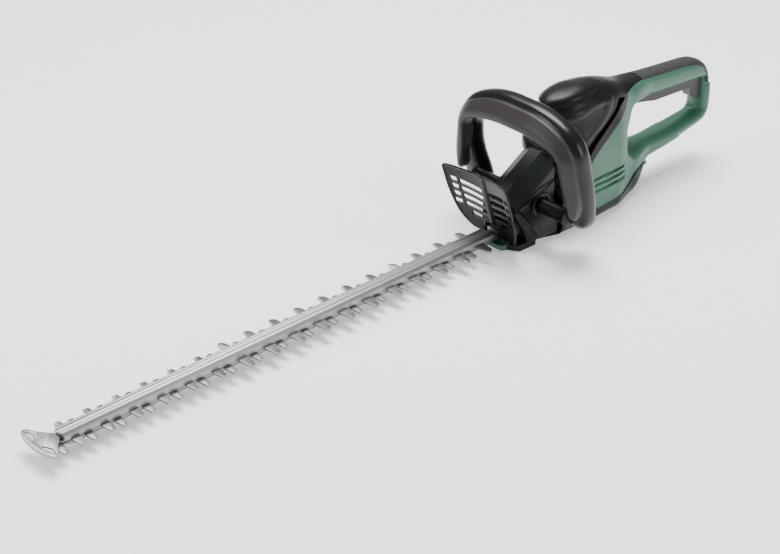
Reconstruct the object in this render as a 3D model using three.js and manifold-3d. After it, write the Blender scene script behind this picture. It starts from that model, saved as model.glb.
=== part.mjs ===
// Electric hedge trimmer: double-sided blade, gearbox, vertical motor, D-shaped rear handle,
// front loop handle with a switch bar.
// Millimetres. The model is laid out with +X towards the blade tip, +Y to the operator's left and
// +Z up, X = 0 at the first comb tooth and Z = 0 between the two blades. The exported group is
// then shifted so that its origin is the middle of the bottom of its bounding box.
import * as THREE from 'three';
import { mergeVertices } from 'three/addons/utils/BufferGeometryUtils.js';
import Module from 'manifold-3d';

const wasm = await Module();
wasm.setup();

// ---------------------------------------------------------------- driving dimensions
const gap = 0.3; // between pieces that touch
const slideGap = 0.5; // beside and under pieces that slide

// blades
const toothPitch = 35;
const teethPerSide = 17;
const sawTeeth = 6; // short angular comb teeth at the tip
const combReach = 30.3; // rounded comb teeth, from the centre line
const sawReach = 24.4;
const cutterReach = 23;
const bladeThick = 2.2;
const spineHalf = 8.9; // half width of both blade spines
const stroke = 18; // full travel of the cutter
const barHalf = 10; // guide bar
const barHeight = 8.2;
const barFront = 11; // front end of the bar, ahead of the first tooth
const railThick = 2; // support rail under the cutter
const screwR = 2.4;
const screwHeadR = 4.2;
const screwHeadHigh = 2.2;
const barScrews = 5;

// tip guard
const tipReach = 41; // front of the guard, ahead of the first tooth
const tipHalf = 31;
const tipThick = 4.2;

// body
const bodyFloor = -14; // underside of the base
const wall = 2.6;
const housingFront = -588; // face that the blade comes out of
const motorX = -712; // motor axis
const motorHalf = 41; // half width of the housing at the motor
const gripHalf = 15.5; // half width of the rear handle
const hoodTop = 152;
const gripTop = 131; // top of the grip at its front end
const gripDrop = 13; // how much lower the grip's rear end is
const rearEnd = -965; // back of the rear handle
const gripDeep = 29; // height of the grip
const triggerDeep = 12; // how far the trigger stands below the grip
const triggerTravel = 4; // at its rear end
const handleTube = 26; // front handle, depth along X
const stripDeep = 15; // switch bar in the front handle
const stripTravel = 4;
const handleX = -642; // middle of the front handle's tube
const loopHalf = 100;
const loopTop = 158;
const loopThick = 25; // seen from the front
const topThick = 31;
const stubZ = 34; // the handle's two stubs
const stubR = 9.5;

// drive
const gearModule = 1.5;
const gearTeeth = 44;
const pinionTeeth = 7;
const gearThick = 6;
const eccentric = stroke / 2;
const motorR = 31;
const plateHalf = [31, 26]; // half width of the drive's plates, at the gear and behind the motor
const coreLength = 46;
const shaftR = 4;
const bearingR = 11;
const bearingHigh = 7;
const fanR = 33;

// inlet
const pinR = 2.9;
const pinLength = 18;
const pinSpacing = 9;

// ---------------------------------------------------------------- derived places
const combZ = gap / 2;
const cutterZ = -gap / 2 - bladeThick;
const barZ = combZ + bladeThick + gap;
const railZ = cutterZ - gap - railThick;
const lastTooth = housingFront + 28;
const firstTooth = lastTooth + (teethPerSide - 1) * toothPitch;
const gearGap = gearModule * (gearTeeth + pinionTeeth) / 2;
const gearX = motorX + gearGap;
const yokeTop = cutterZ + bladeThick;
const eccZ = yokeTop + 2 * slideGap; // underside of the eccentric pin
const gearZ = eccZ + 9;
const motorFloor = gearZ + gearThick + 8; // under the lower bearing
const coreZ = motorFloor + bearingHigh + 10;

const group = new THREE.Group();

// ---------------------------------------------------------------- materials
const finish = (colour, roughness, metalness = 0) =>
  new THREE.MeshStandardMaterial({ color: colour, roughness, metalness });
const green = finish(0x4f8068, 0.5);
const black = finish(0x25272a, 0.55);
const rubber = finish(0x1b1c1e, 0.8);
const grey = finish(0x77736f, 0.6);
const steel = finish(0xb9bcc0, 0.3, 1);
const darkSteel = finish(0x6d7074, 0.45, 1);
const copper = finish(0xa5622f, 0.4, 1);
const brass = finish(0xb99548, 0.35, 1);
const carbon = finish(0x2c2c2e, 0.9);
const whitePlastic = finish(0xc9c6ba, 0.6);

// ---------------------------------------------------------------- solids
function toSolid(geometry) {
  const g = geometry.index ? geometry.toNonIndexed() : geometry.clone();
  for (const name of Object.keys(g.attributes)) if (name !== 'position') g.deleteAttribute(name);
  const merged = mergeVertices(g, 1e-4);
  const made = new wasm.Manifold(new wasm.Mesh({
    numProp: 3,
    vertProperties: merged.attributes.position.array,
    triVerts: new Uint32Array(merged.index.array),
  }));
  return made;
}

function add(name, solid, material) {
  const mesh = solid.getMesh();
  const g = new THREE.BufferGeometry();
  g.setAttribute('position', new THREE.BufferAttribute(new Float32Array(mesh.vertProperties), 3));
  g.setIndex(new THREE.BufferAttribute(new Uint32Array(mesh.triVerts), 1));
  g.computeVertexNormals();
  const node = new THREE.Mesh(g, material);
  node.name = name;
  group.add(node);
  return solid;
}

const joined = (...parts) => parts.reduce((a, b) => a.add(b));
const cut = (from, ...tools) => tools.reduce((a, b) => a.subtract(b), from);

function box(x0, x1, y0, y1, z0, z1) {
  const g = new THREE.BoxGeometry(x1 - x0, y1 - y0, z1 - z0);
  g.translate((x0 + x1) / 2, (y0 + y1) / 2, (z0 + z1) / 2);
  return toSolid(g);
}

// A cylinder from one point along +X, +Y or +Z.
function rod(axis, radius, length, at, sides = 20, endRadius = radius) {
  const g = new THREE.CylinderGeometry(endRadius, radius, length, sides);
  g.translate(0, length / 2, 0);
  if (axis === 'x') g.rotateZ(-Math.PI / 2);
  if (axis === 'z') g.rotateX(Math.PI / 2);
  g.translate(...at);
  return toSolid(g);
}

// An outline from corners [u, v, radius]; a corner without a radius is sharp.
function outline(corners) {
  const shape = new THREE.Shape();
  const count = corners.length;
  corners.forEach(([u, v, radius = 0], i) => {
    const here = new THREE.Vector2(u, v);
    const before = new THREE.Vector2(...corners[(i + count - 1) % count].slice(0, 2)).sub(here);
    const after = new THREE.Vector2(...corners[(i + 1) % count].slice(0, 2)).sub(here);
    const reach = Math.min(radius, before.length() * 0.49, after.length() * 0.49);
    const start = here.clone().add(before.setLength(reach || 1e-9));
    const end = here.clone().add(after.setLength(reach || 1e-9));
    if (i === 0) shape.moveTo(start.x, start.y);
    else shape.lineTo(start.x, start.y);
    if (radius) shape.quadraticCurveTo(u, v, end.x, end.y);
  });
  shape.closePath();
  return shape;
}

const smooth = 2; // steps round a corner
const extrude = (shape, depth, bevel = 0) => new THREE.ExtrudeGeometry(shape, {
  depth: depth - 2 * bevel,
  curveSegments: smooth,
  bevelEnabled: bevel > 0,
  bevelThickness: bevel,
  bevelSize: bevel,
  bevelOffset: -bevel,
  bevelSegments: 2,
}).translate(0, 0, bevel);

// plan: outline in X and Y, from z0 up. side: outline in X and Z, from y0 to y1.
// front: outline in Y and Z, from x0 to x1.
const plan = (shape, z0, z1, bevel) => toSolid(extrude(shape, z1 - z0, bevel).translate(0, 0, z0));
const side = (shape, y0, y1, bevel) =>
  toSolid(extrude(shape, y1 - y0, bevel).rotateX(Math.PI / 2).translate(0, y1, 0));
const front = (shape, x0, x1, bevel) =>
  toSolid(extrude(shape, x1 - x0, bevel).rotateX(Math.PI / 2).rotateZ(Math.PI / 2)
    .translate(x0, 0, 0));

const clamp = (v, low, high) => Math.min(high, Math.max(low, v));
const ease = (v) => v * v * (3 - 2 * v);
// A value that runs smoothly through [place, value] pairs, places rising.
function along(pairs, at) {
  if (at <= pairs[0][0]) return pairs[0][1];
  for (let i = 1; i < pairs.length; i++) {
    const [p0, v0] = pairs[i - 1];
    const [p1, v1] = pairs[i];
    if (at <= p1) return v0 + (v1 - v0) * ease((at - p0) / (p1 - p0));
  }
  return pairs[pairs.length - 1][1];
}

function distance(points, x, z) {
  let best = Infinity;
  for (let i = 0; i < points.length; i++) {
    const a = points[i];
    const b = points[(i + 1) % points.length];
    const dx = b.x - a.x;
    const dz = b.y - a.y;
    const t = clamp(((x - a.x) * dx + (z - a.y) * dz) / (dx * dx + dz * dz || 1), 0, 1);
    best = Math.min(best, Math.hypot(x - a.x - t * dx, z - a.y - t * dz));
  }
  return best;
}

// A solid over the X-Z box of an outline, from y0 out to y = height(x, z), with sign +1 or -1.
function pillow(limits, height, y0, sign, cell) {
  const [x0, x1, z0, z1] = limits;
  const nx = Math.ceil((x1 - x0) / cell);
  const nz = Math.ceil((z1 - z0) / cell);
  const g = new THREE.BoxGeometry(x1 - x0, 2, z1 - z0, nx, 1, nz);
  g.translate((x0 + x1) / 2, 0, (z0 + z1) / 2);
  const p = g.attributes.position;
  for (let i = 0; i < p.count; i++) {
    const outer = p.getY(i) * sign > 0;
    const y = outer ? sign * height(p.getX(i), p.getZ(i)) : sign * y0;
    p.setY(i, y);
  }
  return toSolid(g);
}

const everything = 400;
const halves = [['left', 1], ['right', -1]];

// ================================================================ blades
function toothRow(spots, tooth, z0, thick) {
  const teeth = [];
  for (const [x, kind] of spots) {
    for (const s of [1, -1]) {
      const corners = tooth(kind).map(([dx, y, r]) => [x + dx, s * y, r]);
      if (s < 0) corners.reverse();
      teeth.push(plan(outline(corners), z0, z0 + thick));
    }
  }
  return joined(...teeth);
}

// Corners run anticlockwise on the +Y side, from the root's front.
const inner = spineHalf - 1;
const combTooth = (kind) => (kind === 'saw'
  ? [[2.2, inner], [-0.3, sawReach - 0.2], [-6.5, sawReach - 0.8], [-8.9, inner]]
  : [[3.7, inner], [-0.3, combReach, 3], [-7.3, combReach - 3.6, 3], [-9.8, inner]]);
const cutterTooth = () => [[3.4, inner], [1.2, cutterReach], [-4, cutterReach - 0.6], [-6.4, inner]];

const screwSpots = [];
for (let i = 0; i < barScrews; i++) {
  const first = firstTooth - 0.35 * toothPitch;
  screwSpots.push(first + (lastTooth + toothPitch - first) * (i / (barScrews - 1)));
}
const boltHole = (x, radius, z0, z1) => rod('z', radius, z1 - z0, [x, 0, z0], 8);

const tongue = firstTooth + tipReach - 16; // the comb runs on under the tip guard
const combTail = housingFront - 42;
const combSpots = [];
for (let k = 0; k < teethPerSide; k++) combSpots.push([firstTooth - k * toothPitch, k < sawTeeth ? 'saw' : 'round']);
let comb = plan(outline([[combTail, -spineHalf], [firstTooth, -spineHalf, 3], [tongue, -5, 3],
  [tongue, 5, 3], [firstTooth, spineHalf, 3], [combTail, spineHalf]]), combZ, combZ + bladeThick);
comb = comb.add(toothRow(combSpots, combTooth, combZ, bladeThick));
const tipScrewX = firstTooth + tipReach - 20;
const tailScrewX = [housingFront - 14, housingFront - 34];
for (const x of [...screwSpots, ...tailScrewX]) {
  comb = cut(comb, boltHole(x, screwR + gap, combZ - 1, combZ + bladeThick + 1));
}
comb = cut(comb, boltHole(tipScrewX, screwR + gap, combZ - 1, combZ + bladeThick + 1));
add('comb_blade', comb, steel);

// The cutter slides on slots round the same screws; its tail is the yoke over the eccentric.
const cutterSpots = [];
for (let k = 0; k < teethPerSide; k++) cutterSpots.push([firstTooth + (0.5 - k) * toothPitch, 'cut']);
const slotHalf = stroke / 2 + screwR + slideGap;
const yokeHalf = eccentric + 8;
const yokeX = gearX + eccentric; // the eccentric pin's place at rest
const cutterFront = firstTooth + toothPitch / 2 + 4;
let cutter = plan(outline([[yokeX - 9, -yokeHalf, 3], [yokeX + 13, -yokeHalf, 3],
  [yokeX + 20, -spineHalf], [cutterFront, -spineHalf, 4], [cutterFront, spineHalf, 4],
  [yokeX + 20, spineHalf], [yokeX + 13, yokeHalf, 3], [yokeX - 9, yokeHalf, 3]]),
cutterZ, cutterZ + bladeThick);
cutter = cutter.add(toothRow(cutterSpots, cutterTooth, cutterZ, bladeThick));
const slot = (x) => plan(outline([[x - slotHalf, -screwR - slideGap, 2.8],
  [x + slotHalf, -screwR - slideGap, 2.8], [x + slotHalf, screwR + slideGap, 2.8],
  [x - slotHalf, screwR + slideGap, 2.8]]), cutterZ - 1, cutterZ + bladeThick + 1);
for (const x of screwSpots) cutter = cut(cutter, slot(x));
cutter = cut(cutter, slot((tailScrewX[0] + tailScrewX[1]) / 2)
  .add(slot(tailScrewX[0])).add(slot(tailScrewX[1])));
const tipHeadR = 3.4;
cutter = cut(cutter, box(tipScrewX - stroke / 2 - tipHeadR - slideGap, cutterFront + 4,
  -tipHeadR - slideGap, tipHeadR + slideGap, cutterZ - 1, cutterZ + bladeThick + 1));
const eccR = 5;
cutter = cut(cutter, box(yokeX - eccR - slideGap, yokeX + eccR + slideGap,
  -eccentric - eccR, eccentric + eccR, cutterZ - 1, cutterZ + bladeThick + 1));
add('cutter_blade', cutter, steel);

// Guide bar: a crowned channel along the top of the comb.
const barRear = housingFront + 4;
const barEnd = firstTooth + barFront;
const crown = (h) => outline([[-barHalf, h], [barHalf, h], [barHalf, h + barHeight * 0.55],
  [barHalf - 3.2, h + barHeight, 1.5], [3.4, h + barHeight, 1], [2.4, h + barHeight - 1.3, 1],
  [-2.4, h + barHeight - 1.3, 1], [-3.4, h + barHeight, 1], [-barHalf + 3.2, h + barHeight, 1.5],
  [-barHalf, h + barHeight * 0.55]]);
let bar = front(crown(barZ), barRear, barEnd);
bar = bar.intersect(plan(outline([[barRear, -barHalf - 1], [barEnd, -barHalf - 1, 9],
  [barEnd, barHalf + 1, 9], [barRear, barHalf + 1]]), barZ - 1, barZ + barHeight + 1));
const threadDeep = 4.5;
for (const x of screwSpots) bar = cut(bar, boltHole(x, screwR + gap, barZ - 1, barZ + threadDeep + gap));
add('guide_bar', bar, steel);

const railEnd = firstTooth + 6;
let rail = plan(outline([[barRear, -spineHalf + 0.6, 2], [railEnd, -spineHalf + 0.6, 5],
  [railEnd, spineHalf - 0.6, 5], [barRear, spineHalf - 0.6, 2]]), railZ, railZ + railThick);
for (const x of screwSpots) rail = cut(rail, boltHole(x, screwR + gap, railZ - 1, railZ + railThick + 1));
add('support_rail', rail, darkSteel);

screwSpots.forEach((x, i) => {
  add(`bar_screw_${i + 1}`, joined(
    rod('z', screwHeadR, screwHeadHigh, [x, 0, railZ - gap - screwHeadHigh], 8),
    rod('z', screwR, barZ + threadDeep - railZ + 0.4, [x, 0, railZ - gap - 0.4], 12),
  ), darkSteel);
});

// Tip guard: a fan on the comb's tongue, with two curved grooves.
const tipRoot = barEnd + 1.2;
const tipEnd = firstTooth + tipReach;
const tipLine = outline([[tipRoot, -5.5], [tipRoot + 9.5, -15.5, 8], [tipRoot + 16.5, -tipHalf + 1.5, 3],
  [tipEnd - 7, -tipHalf, 4], [tipEnd - 1.2, -15, 12], [tipEnd, 0, 14], [tipEnd - 1.2, 15, 12],
  [tipEnd - 7, tipHalf, 4], [tipRoot + 16.5, tipHalf - 1.5, 3], [tipRoot + 9.5, 15.5, 8],
  [tipRoot, 5.5]]);
let tip = plan(tipLine, barZ, barZ + tipThick);
for (const s of [1, -1]) {
  const groove = [[tipEnd - 8, s * 6, 2], [tipEnd - 4.5, s * 10, 2], [tipEnd - 7, s * 24, 2],
    [tipEnd - 11, s * 26, 2], [tipEnd - 13, s * 16]];
  tip = cut(tip, plan(outline(groove), barZ + tipThick - 1.4, barZ + tipThick + 1));
}
tip = cut(tip, boltHole(tipScrewX, screwR + gap, barZ - 1, barZ + 3.2));
add('tip_guard', tip, steel);
add('tip_guard_screw', joined(
  rod('z', tipHeadR, 1.7, [tipScrewX, 0, combZ - gap - 1.7], 10),
  rod('z', screwR, 5.5, [tipScrewX, 0, combZ - gap - 0.4], 12),
), darkSteel);

// ================================================================ body outline and its skin
// Side view, X and Z, with corner radii.
const handleEnd = rearEnd + 2;
const bodyCorners = [
  [-666, bodyFloor + 9], [-666, 124, 10], [-676, 136, 12], [-693, hoodTop - 4, 16],
  [-716, hoodTop + 1, 20], [-764, hoodTop - 5, 30], [-800, gripTop + 3, 30], [-829, gripTop, 10],
  [rearEnd, gripTop - gripDrop, 38], [handleEnd, 36, 20], [-884, 21, 25], [-842, 17, 20],
  [-823, -4, 16], [-800, bodyFloor, 22], [-735, bodyFloor, 20], [-664, bodyFloor], [-664, bodyFloor + 9],
];
const triggerTop = gripTop - gripDeep + 3; // underside of the green grip at its front
const openingCorners = [
  [-798, 42, 14], [-789, 74, 14], [-806, triggerTop, 8], [rearEnd + 14, triggerTop - gripDrop + 3, 6],
  [rearEnd + 14, 47, 8], [-936, 45, 12], [-868, 40, 30],
];
const points = (corners) => outline(corners).getPoints(smooth).slice(0, -1)
  .filter((p, i, all) => p.distanceTo(all[(i + 1) % all.length]) > 1e-3);
const bodyLine = points(bodyCorners);
const openingLine = points(openingCorners);

const area = (line) => THREE.ShapeUtils.area(line);
// The same closed line moved outwards by d.
function grown(line, d) {
  const turn = area(line) > 0 ? 1 : -1;
  return line.map((p, i) => {
    const a = line[(i + line.length - 1) % line.length];
    const b = line[(i + 1) % line.length];
    const u = new THREE.Vector2(p.x - a.x, p.y - a.y).normalize();
    const v = new THREE.Vector2(b.x - p.x, b.y - p.y).normalize();
    const n = new THREE.Vector2((u.y + v.y) * turn, -(u.x + v.x) * turn);
    const scale = d / Math.max(0.35, (1 + u.dot(v)) / 2) / 2;
    return new THREE.Vector2(p.x + n.x * scale, p.y + n.y * scale);
  });
}
const sidePrism = (line, y0 = -everything, y1 = everything) => side(new THREE.Shape(line), y0, y1);
// The same prism with a gap round it, for what it has to stay clear of.
const spread = (prism, d) => joined(prism, ...[[d, 0], [-d, 0], [0, d], [0, -d]]
  .map(([x, z]) => prism.translate([x, 0, z])));

// Half width of the body: wide at the motor, slim at the handle, drawn in under the hood.
const columnR = 44; // the motor column, round in plan above the gearbox
function halfWidth(x, z) {
  const wide = along([[-850, 0], [-806, 0.5], [-765, 0.92], [motorX - 10, 1], [-670, 0.95]], x);
  const drawnIn = along([[74, 0], [hoodTop - 12, 0.56]], z);
  const half = gripHalf + (motorHalf - gripHalf) * wide * (1 - drawnIn);
  const ahead = Math.min(x - motorX, columnR - 4);
  const round = ahead > 0 ? Math.sqrt(1 - (ahead / columnR) ** 2) : 1;
  return half * (1 + (round - 1) * along([[30, 0], [56, 1]], z));
}
const edge = 14; // how far the skin rounds over at its outline
// Low down, the skin runs on into the gearbox without rounding over.
const bodyDistance = (x, z) => {
  const held = Math.min(x, -690);
  const at = x + (held - x) * along([[30, 1], [64, 0]], z);
  return Math.min(distance(bodyLine, at, z), distance(openingLine, at, z));
};
const rounded = (d, reach) => 0.42 + 0.58 * Math.sqrt(1 - (1 - clamp(d / reach, 0, 1)) ** 2);
const skin = (x, z) => halfWidth(x, z) * rounded(bodyDistance(x, z), edge);
const gripSkin = 3; // thickness of the soft grip
const cell = 15;
const bodyLimits = [rearEnd - 4, -600, bodyFloor - 4, hoodTop + 6];

// Regions of the side view. Each black cover takes its own, and the green shells have the rest.
const hoodRegion = points([[-650, 134], [-700, 136, 10], [-764, 130, 20], [-812, 116, 8],
  [-828, 115], [-828, 190], [-650, 190]]);
const panelRegion = points([[-640, 134 - gap], [-700, 136 - gap, 10], [-764, 130 - gap, 20],
  [-812, 116 - gap, 2], [-796, 113, 12], [-760, 98, 20], [-725, 74, 20], [-702, 44, 20],
  [-692, 8, 10], [-690, bodyFloor + 9 + gap], [-640, bodyFloor + 9 + gap]]);
const softRegion = points([[-828 - gap, 190], [-828 - gap, gripTop - 15], [-930, gripTop - 27, 20],
  [-956, 92, 12], [-963, 52], [-1000, 52], [-1000, 190]]);
const baseRegion = points([[-570, bodyFloor + 9], [-790, bodyFloor + 9, 14], [-812, -4, 8],
  [-822, 22], [-850, 20], [-850, bodyFloor - 9], [-570, bodyFloor - 9]]);

const inSoft = (x, z) => x < -826 && z > gripTop - 30 && distance(bodyLine, x, z) < 16;
const hollow = (x, z) => {
  const under = inSoft(x, z) ? gripSkin + gap : 0;
  return halfWidth(x, z) * rounded(bodyDistance(x, z) - wall - under, edge) - wall - under;
};
const halfSpace = (s, from = 0) => (s > 0 ? box(-1200, 200, from, 200, -200, 300)
  : box(-1200, 200, -200, -from, -200, 300));
const keep = (s) => halfSpace(s, gap / 2);
const around = [[1, 0], [-1, 0], [0, 1], [0, -1], [0.7, 0.7], [-0.7, 0.7], [0.7, -0.7], [-0.7, -0.7]];
// The same prism drawn in by d.
const inset = (prism, d) => around.reduce((kept, [x, z]) =>
  kept.intersect(prism.translate([x * d, 0, z * d])), prism);
// Both sides of the middle plane, out to the given half width; nothing where that is below zero.
const mirrored = (limits, height, size) => joined(...[1, -1].map((s) =>
  pillow(limits, (x, z) => Math.max(-0.9, height(x, z)), -1, s, size).intersect(halfSpace(s))));
const wholeSkin = mirrored(bodyLimits, skin, cell);
const bodyPrism = sidePrism(bodyLine);
const openingPrism = sidePrism(openingLine);
const shrunk = (less) => mirrored(bodyLimits, (x, z) => skin(x, z) - less, cell)
  .intersect(inset(bodyPrism, less));
const bodySolid = cut(wholeSkin.intersect(bodyPrism), openingPrism);
const driveMouth = box(-700, -600, -everything, everything, bodyFloor, 56); // open to the gearbox
const underSoft = cut(spread(sidePrism(softRegion), wall), inset(bodyPrism, gripSkin + gap + wall));
const cavity = cut(mirrored(bodyLimits, hollow, cell).intersect(inset(bodyPrism.add(driveMouth), wall)),
  spread(openingPrism, wall), underSoft);

// ---------------------------------------------------------------- rear trigger and its room
const hingeX = -820;
const hingeZ = triggerTop - 2;
const triggerLine = points([[-815, triggerTop + 3], [-815, triggerTop - 7, 3],
  [-850, triggerTop - triggerDeep - 1, 8], [-862, triggerTop - triggerDeep - 3, 4],
  [rearEnd + 33, triggerTop - triggerDeep - 8, 5], [rearEnd + 24, 64, 2], [rearEnd + 16.6, 62, 2],
  [rearEnd + 16.6, 88], [rearEnd + 19, triggerTop - gripDrop + 6]]);
const triggerHalf = 9.5;
const pulled = triggerTravel / (hingeX - (rearEnd + 20));
const turnedUp = (line, angle) => line.map((p) => new THREE.Vector2(p.x, p.y)
  .rotateAround(new THREE.Vector2(hingeX, hingeZ), -angle));
const triggerPinR = 2;
const trigger = cut(side(new THREE.Shape(triggerLine), -triggerHalf, triggerHalf),
  rod('y', triggerPinR + gap, 4 * triggerHalf, [hingeX, -2 * triggerHalf, hingeZ], 12));
add('rear_trigger', trigger, grey);
const roomHalf = triggerHalf + slideGap;
const triggerRoom = joined(
  ...[0, pulled / 2, pulled].map((turn) =>
    spread(sidePrism(turnedUp(triggerLine, turn), -roomHalf, roomHalf), slideGap)),
);
add('trigger_pin', rod('y', triggerPinR, 2 * triggerHalf + 4, [hingeX, -triggerHalf - 2, hingeZ], 12),
  darkSteel);
const pinRoom = rod('y', triggerPinR + gap, 2 * triggerHalf + 4 + 2 * gap,
  [hingeX, -triggerHalf - 2 - gap, hingeZ], 12);

// ---------------------------------------------------------------- inlet
const inletTilt = 0.32; // the pins point back and slightly down
const inletAt = [-832, 13];
const tilted = (solidPart) => solidPart.rotate([0, -THREE.MathUtils.radToDeg(inletTilt), 0])
  .translate([inletAt[0], 0, inletAt[1]]);
const inletHalf = 9.5;
const inletLocal = (x0, x1, half, high) => box(x0, x1, -half, half, -high, high);
let inlet = inletLocal(-9, 14, inletHalf, 7);
const pinHoles = [-1, 1].map((s) => rod('x', pinR + gap, 40, [-14, s * pinSpacing / 2, 0], 14));
inlet = cut(inlet, ...pinHoles);
add('inlet_block', tilted(inlet), black);
['left', 'right'].forEach((name, i) => {
  const s = i ? -1 : 1;
  const pin = joined(rod('x', pinR, pinLength + 20, [-9 - pinLength, s * pinSpacing / 2, 0], 14),
    rod('x', pinR - 1.4, 1.6, [-10.6 - pinLength, s * pinSpacing / 2, 0], 14, pinR));
  add(`inlet_pin_${name}`, tilted(pin), steel);
});
const inletRoom = tilted(inletLocal(-40, 14 + gap, inletHalf + gap, 7 + gap));

// ---------------------------------------------------------------- covers and shells
const screwPlaces = [[-780, 6], [-848, 30], [-772, 88], [-946, 38]];
const bossR = 5;
const shellScrewR = 1.9;
const shellHeadR = 3.4;
const ventRows = 3;
const ventLow = 24;
const ventPitch = 8.2;
const vents = (s) => {
  const slots = [];
  for (let i = 0; i < ventRows; i++) {
    const z = ventLow + i * ventPitch;
    slots.push(side(outline([[-780 + i * 2, z - 1.8, 1.6], [-724, z - 0.8, 1.6], [-724, z + 2.6, 1.6],
      [-780 + i * 2, z + 2, 1.6]]), s > 0 ? 20 : -60, s > 0 ? 60 : -20));
  }
  return slots;
};
const shell = bodySolid.subtract(cavity);
const largest = (solidPart) => solidPart.decompose().sort((a, b) => b.volume() - a.volume())[0];
let soft = cut(wholeSkin.intersect(bodyPrism), shrunk(gripSkin));
soft = largest(cut(soft.intersect(sidePrism(softRegion)), spread(openingPrism, 1), triggerRoom));
const softBand = cut(spread(sidePrism(softRegion), gap), shrunk(gripSkin + 2 * gap));
const switchBack = -873;
const switchLong = 28;
const switchHigh = 8.5;
const switchBox = (room) => box(switchBack - room, switchBack + switchLong + room, -5.5 - room, 5.5 + room,
  triggerTop + 4.5 - room, triggerTop + 4.5 + switchHigh + room);
const switchRoom = switchBox(gap);
for (const [name, s] of halves) {
  let half = shell.intersect(keep(s));
  half = cut(half, spread(sidePrism(hoodRegion), gap), spread(sidePrism(panelRegion), gap),
    spread(sidePrism(baseRegion), gap), box(-692, -590, -60, 60, -60, 200));
  half = cut(half, softBand, switchRoom, ...vents(s));
  for (const [x, z] of screwPlaces) {
    const post = rod('y', bossR, 60, [x, s > 0 ? gap / 2 : -60 - gap / 2, z], 14);
    half = half.add(post.intersect(bodySolid.intersect(keep(s))));
    half = cut(half, rod('y', shellScrewR + gap, s > 0 ? 8 : 80, [x, s > 0 ? 0 : -80, z], 12));
    if (s < 0) {
      const depth = halfWidth(x, z) * 0.62;
      half = cut(half, rod('y', shellHeadR + gap, 60, [x, -depth - 60, z], 14));
    }
  }
  half = cut(half, triggerRoom, pinRoom, inletRoom);
  add(`${name}_housing`, half.decompose().sort((a, b) => b.volume() - a.volume())[0], green);
}
screwPlaces.forEach(([x, z], i) => {
  const depth = halfWidth(x, z) * 0.62;
  add(`housing_screw_${i + 1}`, joined(
    rod('y', shellHeadR, 2.2, [x, -depth - 2.2, z], 14),
    rod('y', shellScrewR, depth + 6.8, [x, -depth - 0.4, z], 12),
  ), darkSteel);
});

for (const [name, s] of halves) {
  const panel = shell.intersect(keep(s)).intersect(sidePrism(panelRegion))
    .intersect(box(-900, -666, -90, 90, -60, 200));
  const slit = points([[-706, 70, 2], [-730, 92, 10], [-772, 117, 10], [-790, 121, 2], [-770, 114, 10],
    [-727, 88, 10]]);
  add(`${name}_side_panel`, largest(cut(panel, sidePrism(slit, s > 0 ? 15 : -70, s > 0 ? 70 : -15))), black);
}
const hood = shell.intersect(sidePrism(hoodRegion)).intersect(box(-828, -640, -90, 90, 0, 300));
add('motor_hood', largest(hood), black);

add('soft_grip', soft, rubber);

// ---------------------------------------------------------------- gearbox and base
const boxHalf = 38;
const ridge = (x) => 50 + (-603 - x) * 0.6;
const boxLine = points([[-599, 46, 5], [-652, 79, 4],
  [-666 + gap, 84], [-666 + gap, bodyFloor + 9 + gap], [-618, bodyFloor + 9 + gap]]);
const boxSkin = (less) => (x, z) => {
  const below = ridge(x) - z;
  return 8 + (boxHalf - 8) * Math.pow(clamp((below + 2) / 32, 0, 1), 0.8) - less;
};
const boxLimits = [-672, -594, bodyFloor, 96];
const boxCell = 8;
const mouth = box(-660, -590, -spineHalf - 4, spineHalf + 4, bodyFloor, 12);
const boxPlan = (less) => plan(outline([[-590 - less, less - 33], [-650, less - boxHalf],
  [-700, less - boxHalf], [-700, boxHalf - less], [-650, boxHalf - less], [-590 - less, 33 - less]]), -60, 100);
let gearbox = mirrored(boxLimits, boxSkin(0), boxCell).intersect(sidePrism(boxLine)).intersect(boxPlan(0));
const collarR = columnR + 6; // a ledge round the front of the motor column
gearbox = gearbox.add(rod('z', collarR, 12, [motorX, 0, 79], 32)
  .intersect(box(-666 + gap, -600, -60, 60, 70, 100)));
const boxInside = mirrored(boxLimits, boxSkin(wall), boxCell)
  .intersect(inset(joined(sidePrism(boxLine), box(-700, -650, -everything, everything, bodyFloor, 76),
    box(-700, -618, -everything, everything, bodyFloor - 10, 0)), wall))
  .intersect(boxPlan(wall));
gearbox = cut(gearbox, boxInside, mouth);
add('gearbox_housing', largest(gearbox), black);

const baseFront = housingFront;
const baseToe = baseFront - 9; // the underside turns up ahead of this
const baseHalf = boxHalf - 1;
let base = wholeSkin.intersect(bodyPrism).add(side(outline([[baseFront, bodyFloor + 5, 3],
  [baseFront, bodyFloor + 9], [-680, bodyFloor + 9], [-680, bodyFloor],
  [baseToe, bodyFloor]]), -baseHalf, baseHalf));
const basePlan = (less) => plan(outline([[baseFront - less, less - 16, 4], [-630, less - 27],
  [-655, less - 37.5], [-690, less - 60], [-900, less - 60], [-900, 60 - less], [-690, 60 - less],
  [-655, 37.5 - less], [-630, 27 - less], [baseFront - less, 16 - less, 4]]), bodyFloor - 4, 60);
base = base.intersect(sidePrism(baseRegion)).intersect(basePlan(0));
const basePocket = box(-690, baseFront, -baseHalf + wall, baseHalf - wall, bodyFloor + wall, 40)
  .intersect(inset(side(outline([[baseFront, bodyFloor + 5], [baseFront, 90], [-790, 90],
    [-790, bodyFloor], [baseToe, bodyFloor]]), -everything, everything), wall))
  .intersect(basePlan(wall));
base = cut(base, box(-750, -670, -plateHalf[1] - 2 * gap, plateHalf[1] + 2 * gap, bodyFloor + wall, 40),
  basePocket, cavity.intersect(box(-1200, -664, -90, 90, -60, 200)), inletRoom,
  box(-620, baseFront + 20, -spineHalf - 4, spineHalf + 4, bodyFloor + 6.5, 12));
add('base_cover', largest(base), black);

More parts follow.
